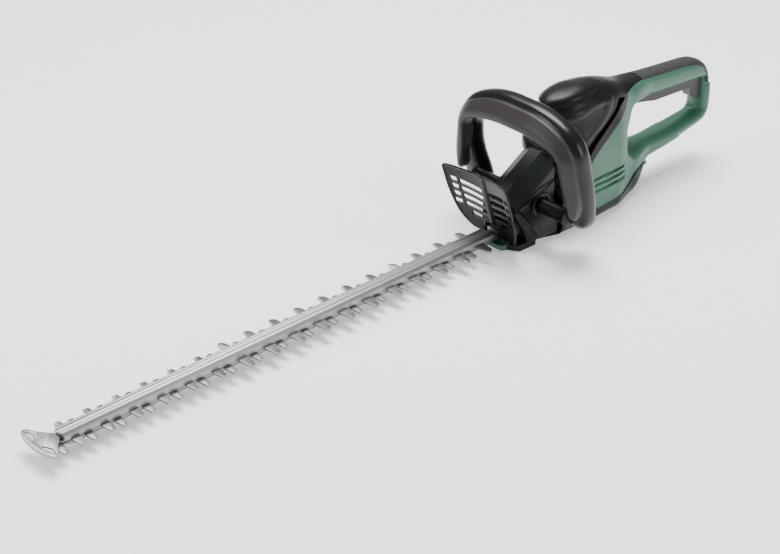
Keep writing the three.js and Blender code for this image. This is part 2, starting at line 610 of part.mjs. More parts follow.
// ---------------------------------------------------------------- hand guard
const guardBase = housingFront - 13;
const guardLean = 0.33;
const guardSweep = 12;
const guardHalf = 52;
const guardTop = 88;
const guardThick = 3;
const guardX = (y, z) => guardBase + guardLean * z + guardSweep * (y / guardHalf) ** 2;
function guardSheet() {
  const g = new THREE.BoxGeometry(guardThick, 2 * guardHalf + 4, guardTop + 20, 1, 8, 4);
  g.translate(0, 0, guardTop / 2);
  const p = g.attributes.position;
  for (let i = 0; i < p.count; i++) p.setX(i, p.getX(i) + guardX(p.getY(i), p.getZ(i)));
  return toSolid(g);
}
const notch = barHalf + 1.5;
const guardLine = outline([[notch, -3], [32, -4, 8], [46, 16, 14], [51, 48, 20], [guardHalf, guardTop - 2, 9],
  [20, guardTop - 4, 20], [-20, guardTop - 4, 20], [-guardHalf, guardTop - 2, 9], [-51, 48, 20], [-46, 16, 14],
  [-32, -4, 8], [-notch, -3], [-notch, 12], [notch, 12]]);
let guard = guardSheet().intersect(front(guardLine, guardBase - 30, guardBase + 90));
const slotRows = 6;
const slotPitch = 11.4;
const slotHigh = 5.6;
for (let i = 0; i < slotRows; i++) {
  const z = 16 + i * slotPitch;
  const reach = along([[10, 20], [30, 31], [45, 33]], z);
  for (const s of [1, -1]) {
    const low = Math.min(s * 6, s * reach);
    const high = Math.max(s * 6, s * reach);
    if (z > 20) {
      guard = cut(guard, box(guardBase - 40, guardBase + 90, low, high, z, z + slotHigh));
    }
    if (z > 30) {
      const a = s > 0 ? 36 : -44;
      guard = cut(guard, box(guardBase - 40, guardBase + 90, a, a + 8, z, z + slotHigh));
    }
  }
}
add('hand_guard', largest(guard), black);

// ---------------------------------------------------------------- front handle
const inside = loopHalf - loopThick;
const handleBack = handleX - handleTube / 2;
const handleFront = handleX + handleTube / 2;
const foot = 22; // underside of the handle's ends
const loopOuter = [[loopHalf - 5, foot, 14], [loopHalf + 2, 62, 40], [loopHalf - 8, loopTop - 22, 40],
  [40, loopTop + 1, 40], [-40, loopTop + 1, 40], [-loopHalf + 8, loopTop - 22, 40],
  [-loopHalf - 2, 62, 40], [-loopHalf + 5, foot, 14]];
const innerTop = loopTop - topThick;
const loopInner = [[-inside, foot, 8], [-inside - 1, 62, 30], [-inside + 2, innerTop - 10, 29],
  [-30, innerTop + 0.5, 30], [30, innerTop + 0.5, 30], [inside - 2, innerTop - 10, 29],
  [inside + 1, 62, 30], [inside, foot, 8]];
let loop = front(outline([...loopOuter, ...loopInner]), handleBack, handleFront, 5);
const stripOuter = [[loopHalf - 9, 40, 8], [loopHalf - 2, 62, 36], [loopHalf - 12, loopTop - 27, 36],
  [39, loopTop - 5.5, 36], [-39, loopTop - 5.5, 36], [-loopHalf + 12, loopTop - 27, 36],
  [-loopHalf + 2, 62, 36], [-loopHalf + 9, 40, 8]];
const stripInner = [[-inside - 3.5, 40, 6], [-inside - 4, 62, 30], [-inside - 1, innerTop - 7.5, 30],
  [-31, innerTop + 3.5, 30], [31, innerTop + 3.5, 30], [inside + 1, innerTop - 7.5, 30],
  [inside + 4, 62, 30], [inside + 3.5, 40, 6]];
const stripLine = points([...stripOuter, ...stripInner]);
const stripBack = handleFront - 5;
const stripFront = handleFront + stripDeep;
const stubFrom = boxHalf + gap;
for (const s of [1, -1]) {
  loop = loop.add(rod('y', stubR, inside + 6 - stubFrom, [handleX, s > 0 ? stubFrom : -inside - 6, stubZ], 20));
}
loop = cut(loop, front(new THREE.Shape(grown(stripLine, slideGap)), stripBack - stripTravel - slideGap,
  handleFront + 10));
const switchHalf = 9;
const switchZ = loopTop - 20;
loop = cut(loop, box(handleBack + 3, handleFront, -switchHalf - gap, switchHalf + gap, switchZ - gap,
  switchZ + 11 + gap));
add('front_handle', largest(loop), black);
add('switch_bar', front(new THREE.Shape(stripLine), stripBack, stripFront, 0), grey);
const springFree = 3;
add('front_switch', box(handleBack + 3 + gap, stripBack - stripTravel - slideGap - springFree - 0.6,
  -switchHalf, switchHalf, switchZ, switchZ + 11), carbon);
add('switch_bar_spring', cut(rod('x', 3.4, springFree, [stripBack - gap - springFree, 0, switchZ + 5.5], 16),
  rod('x', 2.2, springFree + 2, [stripBack - gap - springFree - 1, 0, switchZ + 5.5], 16)), darkSteel);

// ================================================================ drive
function gearOutline(teeth, tipFactor) {
  const pitchR = gearModule * teeth / 2;
  const tipRadius = pitchR + tipFactor * gearModule;
  const rootRadius = pitchR - 1.25 * gearModule;
  const step = 2 * Math.PI / teeth;
  const spots = [];
  for (let i = 0; i < teeth; i++) {
    for (const [share, radius] of [[-0.33, rootRadius], [-0.11, tipRadius], [0.11, tipRadius],
      [0.33, rootRadius]]) {
      const a = (i + share) * step;
      spots.push(new THREE.Vector2(radius * Math.cos(a), radius * Math.sin(a)));
    }
  }
  return spots;
}
const placed = (spots, turn, x) => new THREE.Shape(spots.map((p) => p.clone()
  .rotateAround(new THREE.Vector2(), turn)).map((p) => p.set(p.x + x, p.y)));

// The gear's tooth points at the pinion, and the pinion shows it a space.
const axleR = 4;
const hubR = eccentric + eccR;
let gear = plan(placed(gearOutline(gearTeeth, 0.85), Math.PI, gearX), gearZ, gearZ + gearThick);
gear = joined(gear, rod('z', hubR, 3.4, [gearX, 0, gearZ - 3], 24),
  rod('z', eccR, gearZ - 2.8 - eccZ, [yokeX, 0, eccZ], 16),
  rod('z', axleR + 4, gearThick + 1, [gearX, 0, gearZ], 20));
gear = cut(gear, rod('z', axleR + gap, gearThick + 4, [gearX, 0, gearZ - 1.6], 20));
add('drive_gear', gear, darkSteel);
const pinionShaft = 2;
const pinion = cut(plan(placed(gearOutline(pinionTeeth, 0.8), Math.PI / pinionTeeth, motorX),
  gearZ - 1, gearZ + gearThick + 1), boltHole(motorX, pinionShaft + gap, gearZ - 3, gearZ + gearThick + 3));
add('pinion', pinion, steel);

const plateZ = gearZ + gearThick + 1.8;
const plateThick = 3;
const legs = [[gearX + gearModule * gearTeeth / 2 + 4.8, 18], [motorX - 26, 20]];
const legR = 5;
const sheetZ = railZ - gap - 3;
const sheetTop = railZ - gap;
const plateFront = legs[0][1] + 6;
const plateLine = (back, ahead) => outline([[back, -plateHalf[1], 6], [gearX - 20, -plateHalf[1]],
  [gearX - 12, -plateHalf[0]], [gearX + 16, -plateHalf[0], 6], [ahead, -plateFront, 6],
  [ahead, plateFront, 6], [gearX + 16, plateHalf[0], 6], [gearX - 12, plateHalf[0]], [gearX - 20, plateHalf[1]], [back, plateHalf[1], 6]]);
let bracket = plan(plateLine(motorX - 33, legs[0][0] + 6), plateZ, plateZ + plateThick);
const seat = cut(rod('z', bearingR + 3, motorFloor + 4 - plateZ, [motorX, 0, plateZ], 24),
  rod('z', bearingR + gap, 30, [motorX, 0, motorFloor - gap], 24));
bracket = bracket.add(seat);
for (const [x, y] of legs) {
  for (const s of [1, -1]) {
    bracket = bracket.add(rod('z', legR, plateZ + 1 - sheetTop - gap, [x, s * y, sheetTop + gap], 14));
    bracket = cut(bracket, rod('z', screwR + gap, 12, [x, s * y, sheetTop], 12));
  }
}
bracket = cut(bracket, rod('z', shaftR + 2, 40, [motorX, 0, plateZ - 5], 20),
  rod('z', axleR + gap, 20, [gearX, 0, plateZ - 5], 20));
add('gear_bracket', bracket, darkSteel);
add('gear_axle', rod('z', axleR, plateZ + plateThick - gearZ + 1.2, [gearX, 0, gearZ - 1.2], 20), steel);

// Steel sheet under the drive, with a pad that carries the blades' tails.
const padFront = housingFront - 6;
const padBack = combTail - 2;
let sheet = joined(plan(plateLine(motorX - 34, legs[0][0] + 6), sheetZ, sheetTop),
  box(padBack, padFront, -8, 8, sheetZ, sheetTop), box(padBack, padFront, -8, 8, sheetTop - 1, cutterZ - gap));
const clampTop = barZ + 6.5;
let clampBlock = box(padBack, padFront, -8, 8, barZ, clampTop);
for (const x of tailScrewX) {
  sheet = cut(sheet, boltHole(x, screwR + gap, sheetZ - 1, 0));
  clampBlock = cut(clampBlock, boltHole(x, screwR + gap, barZ - 1, barZ + threadDeep + gap));
}
legs.forEach(([x, y], i) => {
  for (const s of [1, -1]) {
    sheet = cut(sheet, rod('z', screwR + gap, 12, [x, s * y, sheetZ - 4], 12));
    add(`gear_screw_${2 * i + (s > 0 ? 1 : 2)}`, joined(
      rod('z', screwHeadR, screwHeadHigh, [x, s * y, sheetZ - gap - screwHeadHigh], 12),
      rod('z', screwR, sheetTop + 10 - sheetZ, [x, s * y, sheetZ - gap - 0.4], 12),
    ), darkSteel);
  }
});
add('gear_plate', sheet, steel);
add('blade_clamp', clampBlock, darkSteel);
tailScrewX.forEach((x, i) => {
  add(`blade_screw_${i + 1}`, joined(
    rod('z', screwHeadR, screwHeadHigh, [x, 0, sheetZ - gap - screwHeadHigh], 12),
    rod('z', screwR, barZ + threadDeep - sheetZ + 0.4, [x, 0, sheetZ - gap - 0.4], 12),
  ), darkSteel);
});

// ---------------------------------------------------------------- motor
const coreTop = coreZ + coreLength;
const commZ = coreTop + 5;
const commHigh = 13;
const commR = 12;
const topBearingZ = commZ + commHigh + 5;
const ring = (outerR, innerR, z, high, sides = 28) => cut(rod('z', outerR, high, [motorX, 0, z], sides),
  rod('z', innerR, high + 2, [motorX, 0, z - 1], sides));
const rotorR = 19;
let rotor = rod('z', rotorR, coreLength, [motorX, 0, coreZ], 24);
for (let i = 0; i < 12; i++) {
  const slotCut = box(rotorR - 4, rotorR + 2, -1.2, 1.2, coreZ - 1, coreTop + 1)
    .rotate([0, 0, i * 30]).translate([motorX, 0, 0]);
  rotor = cut(rotor, slotCut);
}
const pinionStep = gearZ + gearThick + 2;
rotor = joined(rotor, rod('z', shaftR, topBearingZ + bearingHigh - pinionStep, [motorX, 0, pinionStep], 18),
  rod('z', pinionShaft, pinionStep + 1 - gearZ, [motorX, 0, gearZ], 12));
add('armature', rotor, copper);
add('commutator', ring(commR, shaftR + gap, commZ, commHigh, 24), brass);
const fanZ = motorFloor + bearingHigh + 1.5;
let fan = ring(fanR, shaftR + gap, fanZ, 1.6);
for (let i = 0; i < 12; i++) {
  fan = fan.add(box(9, fanR - 1, -0.7, 0.7, fanZ + 1, fanZ + 7).rotate([0, 0, i * 30]).translate([motorX, 0, 0]));
}
add('cooling_fan', fan, whitePlastic);
const statorR = motorR + 3;
let stator = ring(statorR, rotorR + 1, coreZ + 2, coreLength - 4, 32);
for (const s of [1, -1]) {
  stator = cut(stator, box(motorX - 9, motorX + 9, s > 0 ? rotorR : -rotorR - 5, s > 0 ? rotorR + 5 : -rotorR,
    coreZ, coreTop));
}
add('stator', stator, darkSteel);
add('lower_bearing', ring(bearingR, shaftR + gap, motorFloor, bearingHigh), steel);
add('upper_bearing', ring(bearingR, shaftR + gap, topBearingZ, bearingHigh), steel);
const brushZ = commZ + commHigh / 2;
for (const [name, s] of halves) {
  const from = s > 0 ? commR + 1.6 : -commR - 17;
  const tube = cut(box(motorX - 5, motorX + 5, from, from + 15.4, brushZ - 6, brushZ + 6),
    box(motorX - 3.3, motorX + 3.3, from - 1, from + 17, brushZ - 4.3, brushZ + 4.3));
  add(`${name}_brush_holder`, tube, brass);
  const brushFrom = s > 0 ? commR + 0.4 : -commR - 12.4;
  add(`${name}_brush`, box(motorX - 3, motorX + 3, brushFrom, brushFrom + 12, brushZ - 4, brushZ + 4), carbon);
}
add('capacitor', box(-779, -757, -9, 9, 28, 50), whitePlastic);
add('rear_switch', switchBox(0), carbon);

// ================================================================ origin
const bounds = new THREE.Box3();
group.traverse((node) => { if (node.isMesh) bounds.union(new THREE.Box3().setFromObject(node)); });
const centre = bounds.getCenter(new THREE.Vector3());
group.children.forEach((node) => node.position.set(-centre.x, -centre.y, -bounds.min.z));

export default group;
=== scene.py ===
import math
import bpy
import bmesh
import numpy as np
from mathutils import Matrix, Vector


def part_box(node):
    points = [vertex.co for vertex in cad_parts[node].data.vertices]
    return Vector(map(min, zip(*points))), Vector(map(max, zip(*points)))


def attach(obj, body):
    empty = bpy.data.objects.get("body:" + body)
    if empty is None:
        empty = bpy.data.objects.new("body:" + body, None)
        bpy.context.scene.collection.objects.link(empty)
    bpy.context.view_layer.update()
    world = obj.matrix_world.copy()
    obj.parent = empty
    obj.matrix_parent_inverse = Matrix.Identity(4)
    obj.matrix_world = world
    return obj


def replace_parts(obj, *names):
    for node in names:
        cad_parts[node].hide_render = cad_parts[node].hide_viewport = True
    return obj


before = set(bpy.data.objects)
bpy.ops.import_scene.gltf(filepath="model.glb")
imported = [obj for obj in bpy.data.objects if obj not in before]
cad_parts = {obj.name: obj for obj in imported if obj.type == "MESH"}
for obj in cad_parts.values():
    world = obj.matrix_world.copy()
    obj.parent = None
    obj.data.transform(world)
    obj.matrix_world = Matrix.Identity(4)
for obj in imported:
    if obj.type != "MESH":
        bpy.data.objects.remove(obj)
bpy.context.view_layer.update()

scene = bpy.context.scene
print("frame loaded:", len(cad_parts), "nodes")

# Sizes below are in millimetres on the maker's layout: x runs to the blade tip with 0 at the first
# comb tooth, z is 0 between the blades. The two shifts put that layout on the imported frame.
barRear = -584.0
combUnder = 0.15
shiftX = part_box("guide_bar")[0][0] * 1000 - barRear
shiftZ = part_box("comb_blade")[0][2] * 1000 - combUnder


def spot(x, y, z):
    return Vector(((x + shiftX) / 1000, y / 1000, (z + shiftZ) / 1000))


# materials

class Field:
    def __init__(self, tree, socket):
        self.tree, self.socket = tree, socket

    def node(self, kind, settings, inputs, out=0):
        made = self.tree.nodes.new(kind)
        for key, value in settings.items():
            if key == "stops":
                stops = made.color_ramp.elements
                while len(stops) < len(value):
                    stops.new(0.5)
                for stop, (place, tone) in zip(stops, value):
                    stop.position = place
                    stop.color = (*tone, 1) if len(tone) == 3 else tone
            else:
                setattr(made, key, value)
        for key, value in inputs.items():
            if isinstance(value, Field):
                self.tree.links.new(value.socket, made.inputs[key])
            else:
                made.inputs[key].default_value = value
        return Field(self.tree, made.outputs[out])

    def maths(self, operation, a, b):
        return self.node("ShaderNodeMath", {"operation": operation}, {0: a, 1: b})

    def __add__(self, other):
        return self.maths("ADD", self, other)

    def __radd__(self, other):
        return self.maths("ADD", other, self)

    def __sub__(self, other):
        return self.maths("SUBTRACT", self, other)

    def __rsub__(self, other):
        return self.maths("SUBTRACT", other, self)

    def __mul__(self, other):
        return self.maths("MULTIPLY", self, other)

    def __rmul__(self, other):
        return self.maths("MULTIPLY", other, self)

    def clipped(self, low, high):
        return self.node("ShaderNodeMapRange", {"clamp": True}, {0: self, 1: low, 2: high, 3: 0.0, 4: 1.0})

    def noise(self, scale, detail=3.0, rough=0.5, stretch=(1, 1, 1)):
        at = self
        if stretch != (1, 1, 1):
            at = self.node("ShaderNodeMapping", {}, {0: self, 3: stretch})
        return self.node("ShaderNodeTexNoise", {},
                         {"Vector": at, "Scale": scale, "Detail": detail, "Roughness": rough})

    def tones(self, dark, light):
        return self.node("ShaderNodeMix", {"data_type": "RGBA"}, {0: self, 6: (*dark, 1), 7: (*light, 1)}, 2)


def finish(name, build):
    made = bpy.data.materials.new(name)
    made.use_nodes = True
    tree = made.node_tree
    shader = tree.nodes["Principled BSDF"]
    place = Field(tree, tree.nodes.new("ShaderNodeTexCoord").outputs["Object"])
    for key, value in build(place).items():
        if isinstance(value, Field):
            tree.links.new(value.socket, shader.inputs[key])
        else:
            shader.inputs[key].default_value = value
    return made


def bumped(place, height, strength, distance):
    return place.node("ShaderNodeBump", {}, {"Strength": strength, "Distance": distance, "Height": height})


def moulded(tone, light, rough, grain=2600.0, depth=0.00005, coat=0.0, shine=0.5, worn=1.0):
    def build(place):
        cloud = place.noise(14.0, 4.0)
        fine = place.noise(grain, 2.0)
        scuff = place.noise(180.0, 6.0, 0.7, (0.25, 1, 1)).clipped(0.62, 0.78)
        made = {
            "Base Color": (cloud * 0.8 + scuff * (0.35 * worn)).tones(tone, light),
            "Roughness": rough + (cloud - 0.5) * 0.12 + scuff * (0.1 * worn) + (fine - 0.5) * (0.08 * worn),
            "Normal": bumped(place, fine + cloud * 2.0, 0.35, depth),
            "Specular IOR Level": shine,
        }
        if coat:
            made["Coat Weight"] = coat
            made["Coat Roughness"] = 0.2
        return made
    return build


def ground(tone, light, rough, stretch, depth=0.00001):
    def build(place):
        streak = place.noise(900.0, 4.0, 0.6, stretch)
        cloud = place.noise(16.0, 4.0)
        stain = place.noise(60.0, 6.0, 0.7).clipped(0.6, 0.75)
        return {
            "Base Color": (streak * 0.6 + cloud * 0.4).tones(tone, light),
            "Metallic": 1.0,
            "Roughness": rough + (streak - 0.5) * 0.12 + stain * 0.1,
            "Normal": bumped(place, streak, 0.2, depth),
        }
    return build


def knurled(place):
    spots = [place.node("ShaderNodeSeparateXYZ", {}, {0: place}, k) for k in range(3)]
    down = spots[1].node("ShaderNodeMath", {"operation": "ABSOLUTE"}, {0: spots[1]}) - spots[2]

    def wave(f):
        return f.node("ShaderNodeMath", {"operation": "SINE"}, {0: f * knurl["turns"]})
    studs = (wave(spots[0] + down) * wave(spots[0] - down)).clipped(-0.25, 0.45)
    fine = place.noise(2400.0, 2.0)
    return {
        # the colour follows the stud pattern: painted shade in the dips between the studs and painted
        # highlight on their tops
        "Base Color": (studs * 0.8 + fine * 0.2).tones((0.003, 0.003, 0.0035), (0.04, 0.041, 0.043)),
        "Roughness": 0.62 - studs * 0.2 + (fine - 0.5) * 0.1,
        "Normal": bumped(place, studs + fine * 0.05, 0.6, knurl["deep"]),
        "Specular IOR Level": 0.35,
    }


knurl = {"turns": 1080.0, "deep": 0.0004}
greenPlastic = finish("green plastic", moulded((0.026, 0.105, 0.062), (0.045, 0.15, 0.093), 0.36, shine=0.4))
darkGreen = finish("dark green plastic", moulded((0.02, 0.085, 0.05), (0.035, 0.12, 0.075), 0.45))
blackPlastic = finish("black plastic", moulded((0.0035, 0.0037, 0.0042), (0.008, 0.0083, 0.009), 0.34,
                                               shine=0.2))
glossBlack = finish("satin black plastic", moulded(
    (0.0035, 0.0037, 0.0042), (0.008, 0.0083, 0.0092), 0.28,
    grain=1500.0, depth=0.000003, coat=0.08, shine=0.26, worn=0.15))
towerPlastic = finish("tower plastic", moulded((0.01, 0.0135, 0.011), (0.02, 0.025, 0.021), 0.4, shine=0.22))
greyPlastic = finish("warm grey plastic", moulded((0.022, 0.0195, 0.0185), (0.038, 0.034, 0.0325), 0.38,
                                                  shine=0.25))
gripRubber = finish("knurled rubber", knurled)
bladeSteel = finish("ground steel", ground((0.2, 0.203, 0.212), (0.31, 0.313, 0.325), 0.4, (0.04, 1, 1)))
barSteel = finish("bar steel", ground((0.3, 0.303, 0.315), (0.4, 0.403, 0.415), 0.48, (0.03, 1, 1)))
darkSteel = finish("oiled steel", ground((0.1, 0.105, 0.115), (0.28, 0.285, 0.3), 0.38, (1, 1, 1)))
copper = finish("copper winding", ground((0.38, 0.16, 0.07), (0.62, 0.3, 0.15), 0.35, (1, 1, 0.05)))
brass = finish("brass", ground((0.5, 0.36, 0.13), (0.75, 0.58, 0.28), 0.3, (1, 1, 0.2)))
carbon = finish("carbon", moulded((0.012, 0.012, 0.012), (0.035, 0.035, 0.036), 0.6))
nylon = finish("natural nylon", moulded((0.42, 0.4, 0.34), (0.6, 0.58, 0.5), 0.5))
print("materials made")


# outlines and sheets

def lineOf(corners, steps=7):
    made = []
    count = len(corners)
    for i, corner in enumerate(corners):
        here = np.array(corner[:2], float)
        radius = corner[2] if len(corner) > 2 else 0
        before = np.array(corners[i - 1][:2], float) - here
        after = np.array(corners[(i + 1) % count][:2], float) - here
        reach = min(radius, np.hypot(*before) * 0.49, np.hypot(*after) * 0.49)
        if reach <= 0:
            made.append(here)
            continue
        start = here + before / np.hypot(*before) * reach
        end = here + after / np.hypot(*after) * reach
        for t in np.linspace(0, 1, steps):
            made.append(start * (1 - t) ** 2 + here * 2 * t * (1 - t) + end * t * t)
    return np.array(made)


def gapTo(line, points):
    # distance to a closed line, below zero inside it, and the way to its nearest point
    nextOnes = np.roll(line, -1, axis=0)
    runs = nextOnes - line
    squares = np.maximum((runs ** 2).sum(1), 1e-9)
    best = np.full(len(points), 1e9)
    way = np.zeros((len(points), 2))
    inside = np.zeros(len(points), bool)
    for a, b, run, square in zip(line, nextOnes, runs, squares):
        off = points - a
        t = np.clip((off @ run) / square, 0, 1)
        to = a + t[:, None] * run - points
        far = np.hypot(to[:, 0], to[:, 1])
        nearer = far < best
        best[nearer] = far[nearer]
        way[nearer] = to[nearer]
        crosses = (a[1] > points[:, 1]) != (b[1] > points[:, 1])
        if crosses.any():
            at = a[0] + (points[:, 1] - a[1]) * (b[0] - a[0]) / (b[1] - a[1] if b[1] != a[1] else 1e-9)
            inside ^= crosses & (points[:, 0] < at)
    return np.where(inside, -best, best), way


def region(within, without=()):
    def test(points):
        gap, way = gapTo(within[0], points)
        others = [(line, 1) for line in within[1:]] + [(line, -1) for line in without]
        for line, sign in others:
            nextGap, nextWay = gapTo(line, points)
            nextGap = nextGap * sign
            more = nextGap > gap
            gap = np.where(more, nextGap, gap)
            way[more] = nextWay[more]
        return gap, way
    return test


def flatSheet(low, high, cell, test):
    bm = bmesh.new()
    nu = max(2, round((high[0] - low[0]) / cell))
    nv = max(2, round((high[1] - low[1]) / cell))
    bmesh.ops.create_grid(bm, x_segments=nu, y_segments=nv, size=0.5)
    middle = [(low[i] + high[i]) / 2 for i in (0, 1)]
    bmesh.ops.scale(bm, vec=(high[0] - low[0], high[1] - low[1], 1), verts=bm.verts)
    bmesh.ops.translate(bm, vec=(*middle, 0), verts=bm.verts)
    centres = np.array([f.calc_center_median()[:2] for f in bm.faces])
    gap, way = test(centres)
    outside = [f for f, g in zip(bm.faces, gap) if g > 0]
    bmesh.ops.delete(bm, geom=outside, context="FACES")
    rim = [v for v in bm.verts if v.is_boundary]
    for turn in range(4):
        places = np.array([v.co[:2] for v in rim])
        gap, way = test(places)
        for v, step in zip(rim, way):
            v.co.x += step[0]
            v.co.y += step[1]
    held = set(rim)
    near = [v for v in bm.verts if v not in held and any(e.other_vert(v) in held for e in v.link_edges)]
    for turn in range(2):
        bmesh.ops.smooth_vert(bm, verts=near, factor=0.5, use_axis_x=True, use_axis_y=True)
    return bm


def settle(bm, place):
    # moves a flat sheet to its shape: place takes the flat points and gives layout points
    flat = np.array([v.co[:2] for v in bm.verts])
    for v, to in zip(bm.verts, place(flat)):
        v.co = spot(*to)


def mapped(nu, nv, place, wrap=True):
    # a grid bent into a tube or skin: place takes u and v from 0 to 1
    bm = bmesh.new()
    bmesh.ops.create_grid(bm, x_segments=nu, y_segments=nv, size=0.5)
    for v in bm.verts:
        v.co = spot(*place(v.co.x + 0.5, v.co.y + 0.5))
    if wrap:
        bmesh.ops.remove_doubles(bm, verts=bm.verts, dist=0.00002)
    bmesh.ops.recalc_face_normals(bm, faces=bm.faces)
    return bm


def slab(line, low, high, frameOf):
    # an outline pushed from low to high; frameOf turns (u, v, w) into layout x, y, z
    bm = bmesh.new()
    face = bm.faces.new([bm.verts.new((u, v, low)) for u, v in line])
    made = bmesh.ops.extrude_face_region(bm, geom=[face])
    top = [g for g in made["geom"] if isinstance(g, bmesh.types.BMVert)]
    bmesh.ops.translate(bm, vec=(0, 0, high - low), verts=top)
    for v in bm.verts:
        v.co = spot(*frameOf(*v.co))
    bmesh.ops.recalc_face_normals(bm, faces=bm.faces)
    return bm


def sideways(u, v, w):
    return u, w, v


def piece(name, bm, material, body="body", thick=0, bevel=0, angle=35, sharp=None, steps=2):
    mesh = bpy.data.meshes.new(name)
    bm.to_mesh(mesh)
    bm.free()
    mesh.materials.append(material)
    mesh.shade_smooth()
    if sharp:
        mesh.set_sharp_from_angle(angle=math.radians(sharp))
    obj = bpy.data.objects.new(name, mesh)
    scene.collection.objects.link(obj)
    if thick:
        wall = obj.modifiers.new("wall", "SOLIDIFY")
        wall.thickness = thick / 1000
        wall.offset = -1
        wall.use_even_offset = False
    if bevel:
        edge = obj.modifiers.new("edge", "BEVEL")
        edge.width = bevel / 1000
        edge.segments = steps
        edge.limit_method = "ANGLE"
        edge.angle_limit = math.radians(angle)
        edge.harden_normals = True
        edge.use_clamp_overlap = True
    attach(obj, body)
    return obj


def both(bm):
    # adds the other half across the middle plane and closes the join
    made = bmesh.ops.duplicate(bm, geom=bm.verts[:] + bm.edges[:] + bm.faces[:])
    copied = [g for g in made["geom"] if isinstance(g, bmesh.types.BMVert)]
    bmesh.ops.scale(bm, vec=(1, -1, 1), verts=copied)
    bmesh.ops.reverse_faces(bm, faces=[g for g in made["geom"] if isinstance(g, bmesh.types.BMFace)])
    bmesh.ops.remove_doubles(bm, verts=bm.verts, dist=0.00001)
    bmesh.ops.recalc_face_normals(bm, faces=bm.faces)
    return bm


def along(pairs, at):
    places, values = zip(*pairs)
    k = np.clip(np.searchsorted(places, at, side="right"), 1, len(places) - 1)
    p, q = np.array(places, float), np.array(values, float)
    t = np.clip((at - p[k - 1]) / (p[k] - p[k - 1]), 0, 1)
    return q[k - 1] + (q[k] - q[k - 1]) * t * t * (3 - 2 * t)


# motor body, rear handle and their covers

body = {
    "cell": 1.6, "motorX": -712.0, "columnR": 44.0, "motorHalf": 41.0, "gripHalf": 15.5,
    "floor": -14.0, "hoodTop": 152.0, "gripTop": 131.0, "rearEnd": -965.0,
    "fullness": 0.72, "footFullness": 0.34, "greenThick": 2.0, "panelThick": 2.2, "hoodThick": 2.6,
    "hoodProud": 1.8, "hoodLip": 1.4, "gripProud": 0.5, "baseProud": 1.4,
    "leafProud": 2.2, "innerSunk": 1.6, "tuck": 3.4, "slitDeep": 5.0, "bandProud": 1.0,
}
floorZ, hoodTop, gripTop, rearEnd, motorX = (
    body[k] for k in ("floor", "hoodTop", "gripTop", "rearEnd", "motorX"))
frontX = motorX + body["columnR"]
rimCorners = [
    (-560, floorZ), (-560, 22), (-676, 136, 14), (-693, hoodTop - 4, 18), (-716, hoodTop + 1, 22),
    (-764, hoodTop - 5, 34), (-800, gripTop + 3, 34), (-829, gripTop, 12), (rearEnd, gripTop - 13, 38),
    (rearEnd + 2, 36, 20), (-884, 21, 25), (-842, 17, 20), (-823, -4, 16), (-800, floorZ, 22),
    (-735, floorZ, 20),
]
openCorners = [
    (-798, 42, 16), (-789, 74, 16), (-806, 105, 10), (rearEnd + 14, 95, 8), (rearEnd + 14, 47, 10),
    (-936, 45, 12), (-868, 40, 30),
]
rimLine = lineOf(rimCorners)
openLine = lineOf(openCorners)
frontLine = lineOf([(frontX, -60), (frontX, 220), (-1100, 220), (-1100, -60)])


def halfWidth(x, z):
    wide = along([(-852, 0), (-806, 0.5), (-765, 0.92), (motorX - 10, 1), (-670, 0.95)], x)
    drawn = along([(66, 0), (hoodTop - 14, 0.5)], z)
    low = 1 - 0.03 * along([(floorZ, 1), (26, 0)], z)
    return body["gripHalf"] + (body["motorHalf"] * low - body["gripHalf"]) * wide * (1 - drawn)


def rimReach(x, z):
    low = along([(-958, 6.8), (-944, 8), (-850, 9), (-815, 11), (-780, 12)], x)
    high = along([(-960, 11), (-940, 13.5), (-835, 14), (-800, 17), (-770, 20)], x)
    mix = along([(72, 0), (94, 1)], z)
    return low + (high - low) * mix


def bodyPlace(side=1, lift=None):
    def place(flat):
        rimGap, rimWay = gapTo(rimLine, flat)
        openGap, openWay = gapTo(openLine, flat)
        nearOpen = np.abs(openGap) < np.abs(rimGap)
        depth = np.where(nearOpen, np.abs(openGap), np.abs(rimGap))
        way = np.where(nearOpen[:, None], openWay, rimWay)
        x, z = flat[:, 0], flat[:, 1]
        reach = rimReach(x, z)
        reach = np.where(nearOpen, np.minimum(reach, 13.5 - 5.5 * along([(80, 0), (96, 1)], z)), reach)
        turn = np.clip(depth / reach, 0, 1) * math.pi / 2
        slide = np.where(depth < reach, depth - reach * (1 - np.cos(turn)), 0)
        shift = way * (slide / np.maximum(depth, 1e-6))[:, None]
        x, z = x + shift[:, 0], z + shift[:, 1]
        foot = along([(floorZ + 2, 0), (26, 1)], z)
        full = body["footFullness"] + (body["fullness"] - body["footFullness"]) * foot
        y = halfWidth(x, z) * np.sin(turn) ** full
        ahead = np.clip((x - motorX) / body["columnR"], 0, 1) * math.pi / 2
        turned = along([(30, 0), (56, 1)], z)
        x = x + (np.where(x > motorX, motorX + body["columnR"] * np.sin(ahead), x) - x) * turned
        y = y * (1 + (np.cos(ahead) - 1) * turned)
        if lift is not None:
            y = y + lift(flat) * np.sin(turn)
        return np.column_stack([x, side * y, z])
    return place


def raised(line, height, soft):
    # a step of the given height inside a line, with a soft edge
    def lift(flat):
        gap, way = gapTo(line, flat)
        t = np.clip(0.5 - gap / soft, 0, 1)
        return height * t ** 2 * (3 - 2 * t)
    return lift


